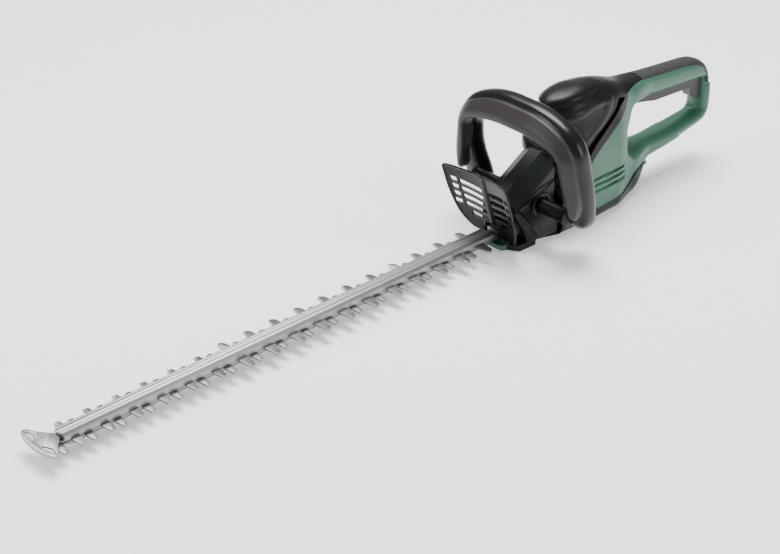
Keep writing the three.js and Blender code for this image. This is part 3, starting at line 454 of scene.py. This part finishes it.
hoodCorners = [
    (-640, 138), (-684, 139, 4), (-694, 135.5, 5), (-709, 137, 10), (-752, 143.5, 16), (-774, 149, 8),
    (-784, 190), (-640, 190),
]
neckCorners = [
    (-829.2, 124.5), (-816, 125, 6), (-802, 123.5, 6), (-790, 122.5, 6), (-777, 128, 6), (-764, 135, 8),
    (-752, 144, 6), (-745, 190), (-829.2, 190),
]
panelCorners = [
    (-640, 150), (-748, 150), (-752, 144, 6), (-764, 135, 8), (-777, 128, 6), (-790, 122.5, 2),
    (-783, 110, 10), (-766, 99, 14), (-745, 88, 16), (-730, 81, 14), (-714, 70, 16), (-701, 44, 20),
    (-692, 8, 10), (-690, floorZ + 15), (-640, floorZ + 15),
]
softCorners = [
    (-830.5, 190), (-830.5, 124), (-849, 121.5, 10), (-902, 117, 20), (-933, 113, 12), (-948, 104, 12),
    (-960.5, 80, 12), (-961, 60), (-1000, 52), (-1000, 190),
]
baseCorners = [
    (-570, floorZ + 16), (-782, floorZ + 17, 14), (-800, 8, 10), (-810, 19, 4), (-826, 20), (-850, 19),
    (-850, -40), (-570, -40),
]
hoodLine, neckLine, panelLine, softLine, baseLine = (
    lineOf(c) for c in (hoodCorners, neckCorners, panelCorners, softCorners, baseCorners))
slitLine = lineOf([
    (-783, 122.5, 2), (-774, 119, 4), (-763, 109.5, 8), (-748, 100.5, 10), (-732, 92.5, 10), (-717, 84, 10),
    (-702, 66, 2), (-706, 82, 8), (-712, 90, 8), (-726, 97.5, 8), (-741, 104, 8), (-755, 111, 8),
    (-764, 118, 6), (-769, 126.5, 2),
])
slitFloor = lineOf([
    (-788, 118, 4), (-766, 104, 10), (-746, 94, 10), (-716, 76, 10), (-698, 56, 4), (-696, 84, 8),
    (-710, 98, 10), (-744, 112, 10), (-764, 128, 6), (-782, 129, 4),
])
leafLine = lineOf([
    (-676, 126), (-709, 131.5, 14), (-724, 134, 10), (-742, 133.5, 10), (-758.5, 131, 5), (-756, 121, 8),
    (-747, 113, 10), (-735, 106, 10), (-719, 99, 12), (-700, 89, 12), (-684, 66, 10), (-676, 56),
])
innerLeaf = lineOf([
    (-682, 118), (-709, 125.5, 12), (-722, 129, 8), (-735, 130, 8), (-747, 128.5, 4), (-743, 121.5, 6),
    (-729, 113, 8), (-713, 106.5, 8), (-698, 98, 8), (-686, 82),
])
vents = {"count": 3, "low": 22.5, "pitch": 8.2, "rear": -780.0, "step": 2.0, "front": -706.0, "hole": 34.0,
         "deepRear": 6.0, "deepMiddle": 3.6, "deepFront": 1.6}
ventLines, ventHoles = [], []
for i in range(vents["count"]):
    ventZ, ventRear = vents["low"] + vents["pitch"] * i, vents["rear"] + vents["step"] * i
    ventLines.append(lineOf([
        (ventRear, ventZ - 0.6, 1), (ventRear - 1.5, ventZ + 4.8, 1), (vents["front"], ventZ + 6, 1),
        (vents["front"], ventZ + 2, 1),
    ]))
    ventHoles.append(lineOf([
        (ventRear + 1, ventZ + 0.6), (ventRear - 0.4, ventZ + 4.2, 1),
        (ventRear + vents["hole"], ventZ + 4.6), (ventRear + vents["hole"], ventZ + 3.2),
    ]))
lowBand = lineOf([(-800, -20), (-790, 1, 6), (-772, 3.5, 8), (-744, 7, 12), (-722, 15, 12), (-700, 22),
                  (-660, 30), (-660, -20)])
armStep = {"foot": -896.5, "lean": 0.9, "high": 1.8, "fade": 46.0}


def ventSink(flat):
    # grooves that get deeper towards their rear ends
    sink = np.zeros(len(flat))
    for line in ventLines:
        gap, way = gapTo(line, flat)
        deep = along([
            (vents["rear"], vents["deepRear"]), (-756, vents["deepMiddle"]),
            (vents["front"], vents["deepFront"]),
        ], flat[:, 0])
        sink -= deep * np.clip(0.35 - gap / 1.2, 0, 1)
    # a step across the lower arm, fading towards the motor
    ahead = flat[:, 0] - armStep["foot"] - armStep["lean"] * (flat[:, 1] - 40)
    fade = np.clip(1 - (ahead - 2) / armStep["fade"], 0, 1)
    onArm = (flat[:, 1] > 20) * (flat[:, 1] < 60)
    sink += armStep["high"] * np.clip(0.5 + ahead / 1.6, 0, 1) * fade * onArm
    return sink + raised(lowBand, body["bandProud"], 2.5)(flat)


def panelLift(flat):
    # a raised leaf with a sunk middle, and an edge that goes in under the hood
    tuck = body["tuck"] * np.clip(1 - np.abs(gapTo(hoodLine, flat)[0]) / 6, 0, 1)
    leaf = raised(leafLine, body["leafProud"], 2.6)(flat) - raised(innerLeaf, body["innerSunk"], 2.2)(flat)
    return leaf - tuck


def hoodLift(flat):
    # the hood stands proud of the panel, most of all along its lower edge
    edge = np.clip(1 - np.abs(gapTo(hoodLine, flat)[0]) / 9, 0, 1)
    return body["hoodProud"] + body["hoodLip"] * edge


sheetLow, sheetHigh = (rearEnd - 2, floorZ - 1), (frontX + 1, hoodTop + 3)
gripGap = lineOf([(-827, 190), (-827, 124.6), (-833, 123.4), (-833, 190)])
greenTest = region([rimLine, frontLine], [openLine, hoodLine, neckLine, panelLine, softLine, baseLine,
                                          gripGap, *ventHoles])
for name, side in (("left", 1), ("right", -1)):
    bm = flatSheet(sheetLow, sheetHigh, body["cell"], greenTest)
    settle(bm, bodyPlace(side, ventSink))
    if side < 0:
        bmesh.ops.reverse_faces(bm, faces=bm.faces)
    bmesh.ops.recalc_face_normals(bm, faces=bm.faces)
    obj = piece(name + "Housing", bm, greenPlastic,
                thick=body["greenThick"], bevel=0.45, angle=50)
    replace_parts(obj, name + "_housing")
    bm = flatSheet((-795, floorZ + 10), (frontX + 1, 152), body["cell"],
                   region([rimLine, frontLine, panelLine], [slitLine]))
    settle(bm, bodyPlace(side, panelLift))
    bmesh.ops.recalc_face_normals(bm, faces=bm.faces)
    obj = piece(name + "SidePanel", bm, blackPlastic,
                thick=body["panelThick"], bevel=0.5, angle=50)
    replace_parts(obj, name + "_side_panel")
    # floor of the slit, set back inside the panel
    bm = flatSheet((-790, 52), (-690, 132), body["cell"], region([rimLine, frontLine, slitFloor]))
    settle(bm, bodyPlace(side, lambda flat: np.full(len(flat), -body["slitDeep"])))
    bmesh.ops.recalc_face_normals(bm, faces=bm.faces)
    piece(name + "SlitFloor", bm, blackPlastic, thick=1.0, bevel=0.2, angle=50)

bm = flatSheet((-790, 130), (frontX + 1, hoodTop + 3), body["cell"], region([rimLine, frontLine, hoodLine]))
settle(bm, bodyPlace(1, hoodLift))
hood = piece("motorHood", both(bm), glossBlack, thick=body["hoodThick"], bevel=0.8,
             angle=55)
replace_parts(hood, "motor_hood")
bm = flatSheet((-830, 116), (-744, 160), body["cell"], region([rimLine, neckLine]))
settle(bm, bodyPlace(1))
piece("gripNeck", both(bm), blackPlastic, thick=2.0, bevel=0.6, angle=55)
bm = flatSheet((rearEnd - 2, 48), (-826, gripTop + 4), body["cell"], region([rimLine, softLine], [openLine]))
settle(bm, bodyPlace(1, lambda flat: np.full(len(flat), body["gripProud"])))
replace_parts(piece("softGrip", both(bm), gripRubber, thick=2.0, bevel=0.6, angle=55),
            "soft_grip")
bm = flatSheet((-852, floorZ - 1), (frontX + 1, 28), body["cell"], region([rimLine, frontLine, baseLine]))
settle(bm, bodyPlace(1, lambda flat: np.full(len(flat), body["baseProud"])))
piece("baseRear", both(bm), blackPlastic, thick=2.0, bevel=0.5, angle=55)
print("body skins made")

# gearbox, base front and collar

gear = {"front": -601, "run": 66, "top": 50.5, "rise": 0.6, "ridge": 7.0, "half": 38.0, "stubX": -642.0,
        "stubZ": 34.0, "side": 29.5, "round": 3.0, "ledge": 1.5}


def towerPlace(u, v):
    # u runs from the guard back to the collar, v from one side's foot over the ridge to the other's
    x = gear["front"] - u * gear["run"]
    top = gear["top"] + (gear["front"] - x) * gear["rise"]
    across = (v - 0.5) * 2
    s = abs(across)
    path = [(0, 0), (gear["ridge"], 0), (gear["ridge"] + 1.2, -0.5), (24.5, -14), (26.5, -17), (27, -48)]
    spans = [0, 0.2, 0.24, 0.62, 0.68, 1]
    y = float(np.interp(s, spans, [p[0] for p in path]))
    z = top + float(np.interp(s, spans, [p[1] for p in path]))
    return x + (0.30 * (z - top) if u < 0.02 else 0), math.copysign(y, across), max(z, floorZ + 9)


bm = mapped(22, 50, towerPlace, wrap=False)
ends = [e for e in bm.edges if e.is_boundary]
bmesh.ops.holes_fill(bm, edges=ends, sides=0)
bmesh.ops.recalc_face_normals(bm, faces=bm.faces)
tower = piece("gearTower", bm, towerPlastic, bevel=0.8, angle=14, sharp=30, steps=3)

sideLine = lineOf([(-601, 34, 6), (-609, 41, 6), (-650, 55, 10), (-667, 58), (-667, floorZ + 7.5),
                   (-618, floorZ + 7.5), (-614, 6, 12)])
ledgeLine = lineOf([(-608, 36, 3), (-611.5, 37, 2), (-656, 53), (-655, 56), (-611, 40.5, 3), (-605, 35, 3),
                    (-630, 1), (-633, 2)])


def gearSidePlace(flat):
    x, z = flat[:, 0], flat[:, 1]
    rim, way = gapTo(sideLine, flat)
    # wider at its foot, narrower towards the guard, with a ledge on it and a rounded rim
    out = gear["side"] + 8 * along([(8, 1), (40, 0)], z) - 3.5 * along([(-640, 0), (-604, 1)], x)
    out += gear["ledge"] * np.clip(0.6 - gapTo(ledgeLine, flat)[0] / 1.4, 0, 1)
    nearRim = np.clip(1 + rim / gear["round"], 0, 1)
    return np.column_stack([x, out - 2.2 * nearRim ** 2, z])


bm = flatSheet((-668, floorZ + 6.5), (-600, 59), 1.0, region([sideLine]))
settle(bm, gearSidePlace)
made = bmesh.ops.duplicate(bm, geom=bm.verts[:] + bm.edges[:] + bm.faces[:])
copied = [g for g in made["geom"] if isinstance(g, bmesh.types.BMVert)]
bmesh.ops.scale(bm, vec=(1, -1, 1), verts=copied)
bmesh.ops.bridge_loops(bm, edges=[e for e in bm.edges if e.is_boundary])
bmesh.ops.recalc_face_normals(bm, faces=bm.faces)
piece("gearSides", bm, blackPlastic, sharp=60)

for name, side in (("left", 1), ("right", -1)):
    # socket that the front handle's stub stands in
    face = gear["half"] - 5.2
    ring = [(11.2, 26), (11.2, face - 0.8), (12.0, face), (14.5, face), (15.6, face - 1.0), (15.6, 26)]
    bm = bmesh.new()
    verts = [bm.verts.new(spot(gear["stubX"] + r, side * y, gear["stubZ"])) for r, y in ring]
    edges = [bm.edges.new((verts[i], verts[(i + 1) % len(verts)])) for i in range(len(verts))]
    bmesh.ops.spin(bm, geom=verts + edges, cent=spot(gear["stubX"], 0, gear["stubZ"]), axis=(0, 1, 0),
                   steps=48, angle=math.tau, use_merge=True)
    bmesh.ops.recalc_face_normals(bm, faces=bm.faces)
    piece(name + "StubSocket", bm, blackPlastic, sharp=40)

# ledge round the foot of the motor column
collar = [(43, 75), (49, 76), (50.2, 77.2), (50.4, 85.5), (49.6, 87.6), (46.5, 90.5), (44.6, 91), (43, 91)]
bm = bmesh.new()
verts = [bm.verts.new(spot(motorX + r * math.cos(1.1), r * math.sin(1.1), z)) for r, z in collar]
edges = [bm.edges.new((verts[i], verts[(i + 1) % len(verts)])) for i in range(len(verts))]
bmesh.ops.spin(bm, geom=verts + edges, cent=spot(motorX, 0, 80), axis=(0, 0, -1), steps=48, angle=2.2,
               use_merge=False)
bmesh.ops.holes_fill(bm, edges=[e for e in bm.edges if e.is_boundary], sides=0)
bmesh.ops.recalc_face_normals(bm, faces=bm.faces)
piece("motorCollar", bm, blackPlastic, sharp=35)
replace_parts(tower, "gearbox_housing")

toeLine = lineOf([(-588, -15, 4), (-600, -27, 4), (-606, -33, 3), (-633, -34, 3), (-636, -24, 3),
                  (-672, -36), (-672, 36), (-636, 24, 3), (-633, 34, 3), (-606, 33, 3), (-600, 27, 4),
                  (-588, 15, 4)])


def toePlace(u, v, w):
    # the underside rises towards the tip
    rise = 3.5 * max(0, (u + 606) / 18) if w < floorZ + 1 else 0
    return u, v, w + rise


bm = slab(toeLine, floorZ, floorZ + 9, toePlace)
baseToe = piece("baseToe", bm, blackPlastic, bevel=1.2, angle=40, steps=3)
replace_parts(baseToe, "base_cover")
noseLine = lineOf([(-586, -12, 3), (-604, -22, 3), (-606, 22, 3), (-586, 22, 6)])
bm = slab(noseLine, floorZ + 2.5, -4.2, lambda u, v, w: (u + 0.3 * (w + 4), v, w))
piece("baseNose", bm, darkGreen, bevel=0.8, angle=40)
print("gearbox made")

# hand guard

guard = {"cell": 1.1, "foot": -601.0, "lean": 0.33, "sweep": 12.0, "half": 52.0, "thick": 2.2, "lip": 1.1,
         "ribHigh": 1.6, "rows": 5, "firstRow": 17, "pitch": 10.8, "slant": 0.2, "high": 7.0, "rib": 5.5}
guardLine = lineOf([(11.5, -3), (32, -4, 8), (46, 16, 14), (51, 48, 20), (52, 87.5, 7), (24, 85, 20),
                    (-24, 85, 20), (-52, 87.5, 7), (-51.5, 48, 20), (-46, 16, 14), (-32, -4, 8), (-11.5, -3),
                    (-11.5, 12, 2), (11.5, 12, 2)])


def slotOf(side, near, far, z):
    # slots run down a little towards the middle rib
    lowNear, lowFar = z + guard["slant"] * (near - 30), z + guard["slant"] * (far - 30)
    return lineOf([(side * near, lowNear, 1), (side * far, lowFar, 1),
                   (side * far, lowFar + guard["high"], 1), (side * near, lowNear + guard["high"], 1)], 4)


slots = []
for row in range(guard["rows"]):
    z = guard["firstRow"] + row * guard["pitch"]
    reach = float(along([(10, 25), (26, 34), (45, 35)], z))
    for side in (1, -1):
        slots.append(slotOf(side, guard["rib"] + (8 if row == 0 else 0), reach, z))
        if row > 0:
            slots.append(slotOf(side, 38, 45.5, z))
bm = flatSheet((-54, -6), (54, 90), guard["cell"], region([guardLine], slots))


def guardPlace(flat):
    y, z = flat[:, 0], flat[:, 1]
    rim, way = gapTo(guardLine, flat)
    lip = guard["lip"] * np.clip(1 - np.abs(np.abs(rim) - 1.5) / 1.8, 0, 1) * (z > 6)
    rib = guard["ribHigh"] * np.clip(1 - np.abs(y) / 4.5, 0, 1) ** 0.5 * (z > 14)
    curve = guard["sweep"] * (y / guard["half"]) ** 2
    x = guard["foot"] + guard["lean"] * z + curve + lip + rib + guard["thick"] / 2
    return np.column_stack([x, y, z])


settle(bm, guardPlace)
bmesh.ops.recalc_face_normals(bm, faces=bm.faces)
if sum(f.normal.x for f in bm.faces) < 0:
    bmesh.ops.reverse_faces(bm, faces=bm.faces)
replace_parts(piece("handGuard", bm, blackPlastic, thick=guard["thick"], bevel=0.5,
                  angle=45), "hand_guard")
print("guard made")

# front handle and its switch bar

handle = {"middle": -642.0, "deep": 13.0, "half": 100.0, "top": 158.0, "inside": 75.0, "under": 127.0,
          "foot": 18.0, "lean": 10.0, "leanFrom": 126, "leanSpan": 76, "cap": 17, "capShare": 0.06,
          "capCrowd": 1.7, "square": 0.8, "steps": 150, "along": 190, "round": 28}
half, inside, loopTop, loopUnder = (handle[k] for k in ("half", "inside", "top", "under"))


def arch(corners):
    # an open arch from its right foot over the top to its left foot, in equal steps
    line = lineOf(corners, 14)
    lengths = np.concatenate([[0], np.cumsum(np.hypot(*np.diff(line, axis=0).T))])
    at = np.linspace(0, lengths[-1], handle["steps"] + 1)
    return np.column_stack([np.interp(at, lengths, line[:, 0]), np.interp(at, lengths, line[:, 1])])


def archOf(*right):
    # one side's corners mirrored to make the whole arch
    return arch([*right] + [(-y, z, *r) for y, z, *r in reversed(right)])


outer = archOf((half - 4, handle["foot"]), (half + 2, 62, 40), (half - 8, loopTop - 22, 40),
               (40, loopTop + 1, 40))
inner = archOf((inside - 13, handle["foot"]), (inside - 10, 39, 14), (inside + 1, 68, 26),
               (inside - 2, loopUnder - 10, 29), (30, loopUnder + 0.5, 30))


def sweep(outerArch, innerArch, backX, farX, power, cap):
    spanX, midX = (farX - backX) / 2, (farX + backX) / 2
    length = np.hypot(*np.diff((outerArch + innerArch) / 2, axis=0).T).sum()

    def place(u, v):
        at = u * handle["steps"]
        k = min(int(at), handle["steps"] - 1)
        o = outerArch[k] + (outerArch[k + 1] - outerArch[k]) * (at - k)
        i = innerArch[k] + (innerArch[k + 1] - innerArch[k]) * (at - k)
        mid, arm = (o + i) / 2, (o - i) / 2
        end = min(u, 1 - u) * length
        fill = math.sqrt(max(0.0, 1 - (1 - min(1, end / cap)) ** 2))
        turn = v * math.tau
        c, s = math.cos(turn), math.sin(turn)
        c = math.copysign(abs(c) ** power, c) * fill
        s = math.copysign(abs(s) ** power, s) * fill
        z = mid[1] + arm[1] * c
        back = handle["lean"] * max(0.0, (handle["leanFrom"] - z) / handle["leanSpan"]) ** 1.4
        return midX + spanX * s - back, mid[0] + arm[0] * c, z
    return place


def capped(nu, place):
    # steps crowd together at the two ends so the caps come out round
    share, crowd = handle["capShare"], handle["capCrowd"]

    def spread(u):
        if u <= share:
            return share * (u / share) ** crowd
        if u >= 1 - share:
            return 1 - share * ((1 - u) / share) ** crowd
        return u
    return mapped(nu, handle["round"] * 2, lambda u, v: place(spread(u), v))


loopBack, loopFront = handle["middle"] - handle["deep"], handle["middle"] + handle["deep"] + 1.5
bm = capped(handle["along"], sweep(outer, inner, loopBack, loopFront, handle["square"], handle["cap"]))
loopPiece = piece("frontHandle", bm, glossBlack)
stripOut = archOf((half - 7, 40), (half - 2.5, 62, 30), (half - 12, loopTop - 27, 36),
                  (39, loopTop - 5.5, 36))
stripIn = archOf((inside + 13, 40), (inside + 8, 58, 16), (inside + 1, 86, 24),
                 (inside - 1, loopUnder - 9, 30), (31, loopUnder + 1.6, 30))


def stripSweep(u, v):
    # the bar's front slopes from its outer edge down to a rounded nose by the opening
    x, y, z = stripRound(u, v)
    turn = math.cos(v * math.tau)
    inward = (1 - math.copysign(abs(turn) ** strip["square"], turn)) / 2
    ahead = max(0.0, x - strip["slopeFrom"]) / strip["slopeRun"]
    return x - ahead * strip["slope"] * (1 - along([(0, 0), (0.62, 1)], inward)), y, z


strip = {"back": -636.0, "front": -614.5, "slope": 7.5, "slopeFrom": -634, "slopeRun": 17.5, "square": 0.42,
         "cap": 8}
stripRound = sweep(stripOut, stripIn, strip["back"], strip["front"], strip["square"], strip["cap"])
bm = capped(handle["along"], stripSweep)
bar = piece("switchBar", bm, greyPlastic, body="switch_bar")
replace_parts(bar, "switch_bar")
stub = [(0.0, 27), (9.2, 27), (9.2, 44), (9.0, 60), (9.6, 68), (12.0, 74), (0.0, 78)]
for name, side in (("left", 1), ("right", -1)):
    bm = bmesh.new()
    verts = [bm.verts.new(spot(handle["middle"] + r, side * y, gear["stubZ"])) for r, y in stub]
    edges = [bm.edges.new(pair) for pair in zip(verts, verts[1:])]
    bmesh.ops.spin(bm, geom=verts + edges, cent=spot(handle["middle"], 0, gear["stubZ"]), axis=(0, 1, 0),
                   steps=40, angle=math.tau, use_merge=True)
    bmesh.ops.remove_doubles(bm, verts=bm.verts, dist=0.00001)
    bmesh.ops.recalc_face_normals(bm, faces=bm.faces)
    piece(name + "HandleStub", bm, blackPlastic, sharp=40)
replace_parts(loopPiece, "front_handle")
print("front handle made")

# trigger

trigger = {"half": 8.6, "round": 1.6}
triggerLine = lineOf([(-815, 106), (-815, 98, 3), (-850, 91, 8), (-862, 87.5, 4), (-930, 83.5, 6),
                      (-938, 68, 2), (-947, 64, 2), (-950, 90), (-946, 98)])
bm = slab(triggerLine, -trigger["half"], trigger["half"], sideways)
lever = piece("rearTrigger", bm, greyPlastic, body="trigger", bevel=trigger["round"],
              angle=30, steps=3)
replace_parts(lever, "rear_trigger")

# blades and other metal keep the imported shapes, with their edges broken

bevelOf = {"comb_blade": 0.3, "cutter_blade": 0.3, "guide_bar": 0.5, "tip_guard": 0.6, "support_rail": 0.3,
         "inlet_pin_left": 0.9, "inlet_pin_right": 0.9, "inlet_block": 0.8}
looks = {"comb_blade": bladeSteel, "cutter_blade": bladeSteel, "guide_bar": barSteel, "tip_guard": barSteel,
         "support_rail": darkSteel, "inlet_pin_left": darkSteel, "inlet_pin_right": darkSteel,
         "inlet_block": blackPlastic}
for node, width in bevelOf.items():
    bm = bmesh.new()
    bm.from_mesh(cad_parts[node].data)
    bmesh.ops.remove_doubles(bm, verts=bm.verts, dist=0.000005)
    bmesh.ops.dissolve_limit(bm, angle_limit=math.radians(1.5), verts=bm.verts, edges=bm.edges)
    words = node.split("_")
    obj = piece(words[0] + "".join(w.title() for w in words[1:]) + "Finished", bm, looks[node],
                body="cutter" if node == "cutter_blade" else "body",
                bevel=width, angle=28)
    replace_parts(obj, node)

innerLooks = {
    "armature": copper, "commutator": brass, "cooling_fan": nylon, "pinion": bladeSteel,
    "drive_gear": darkSteel, "gear_bracket": darkSteel, "gear_axle": bladeSteel, "gear_plate": bladeSteel,
    "blade_clamp": darkSteel, "stator": darkSteel, "lower_bearing": bladeSteel, "upper_bearing": bladeSteel,
    "left_brush_holder": brass, "right_brush_holder": brass, "left_brush": carbon, "right_brush": carbon,
    "capacitor": nylon, "rear_switch": carbon, "front_switch": carbon, "switch_bar_spring": darkSteel,
    "trigger_pin": darkSteel,
}
for node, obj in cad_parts.items():
    obj.data.materials.clear()
    obj.data.materials.append(innerLooks.get(node, darkSteel))
print("trigger, blades and inner parts finished")

# floor, light and camera

studio = {"floor": 0.93, "floorRadius": 14, "sky": 0.38, "sun": 3.6, "sunAngle": 40, "glow": 0.4,
          "lens": 90.6, "turn": 137.111, "tilt": 59.567, "eye": (844.9, 1374.8, 1110.3)}
stageFloor = finish("floor", lambda place: {
    "Base Color": (studio["floor"],) * 3 + (1,),
    "Roughness": 0.9,
    "Specular IOR Level": 0.1,
    "Emission Color": (1, 1, 1, 1),
    "Emission Strength": studio["glow"],
})
bm = bmesh.new()
bmesh.ops.create_circle(bm, cap_ends=True, radius=studio["floorRadius"], segments=64)
mesh = bpy.data.meshes.new("floor")
bm.to_mesh(mesh)
bm.free()
mesh.materials.append(stageFloor)
floor = bpy.data.objects.new("floor", mesh)
floor.location.z = -0.0005
scene.collection.objects.link(floor)

world = bpy.data.worlds.new("studio")
scene.world = world
world.use_nodes = True
world.node_tree.nodes["Background"].inputs["Color"].default_value = (1, 1, 1, 1)
world.node_tree.nodes["Background"].inputs["Strength"].default_value = studio["sky"]


def softLight(name, place, size, power, aim=(0, 0, 0.05)):
    lamp = bpy.data.lights.new(name, "AREA")
    lamp.shape = "RECTANGLE"
    lamp.size, lamp.size_y = size
    lamp.energy = power
    obj = bpy.data.objects.new(name, lamp)
    obj.location = place
    obj.rotation_euler = (Vector(aim) - Vector(place)).to_track_quat("-Z", "Y").to_euler()
    scene.collection.objects.link(obj)


softLight("overhead", (-0.5, -0.4, 1.9), (1.3, 0.6), 32)
softLight("fromLeft", (1.8, -0.9, 1.2), (0.4, 1.3), 18)
softLight("fromRight", (-1.2, 1.9, 0.9), (0.4, 1.2), 14)
sun = bpy.data.objects.new("sun", bpy.data.lights.new("sun", "SUN"))
sun.data.energy = studio["sun"]
sun.data.angle = math.radians(studio["sunAngle"])
sun.rotation_euler = (math.radians(18), math.radians(-14), 0)
scene.collection.objects.link(sun)

camera = bpy.data.objects.new("camera", bpy.data.cameras.new("camera"))
camera.data.lens = studio["lens"]
camera.data.sensor_width = 36
camera.location = spot(*studio["eye"])
camera.rotation_euler = (math.radians(studio["tilt"]), 0, math.radians(studio["turn"]))
scene.collection.objects.link(camera)
scene.camera = camera
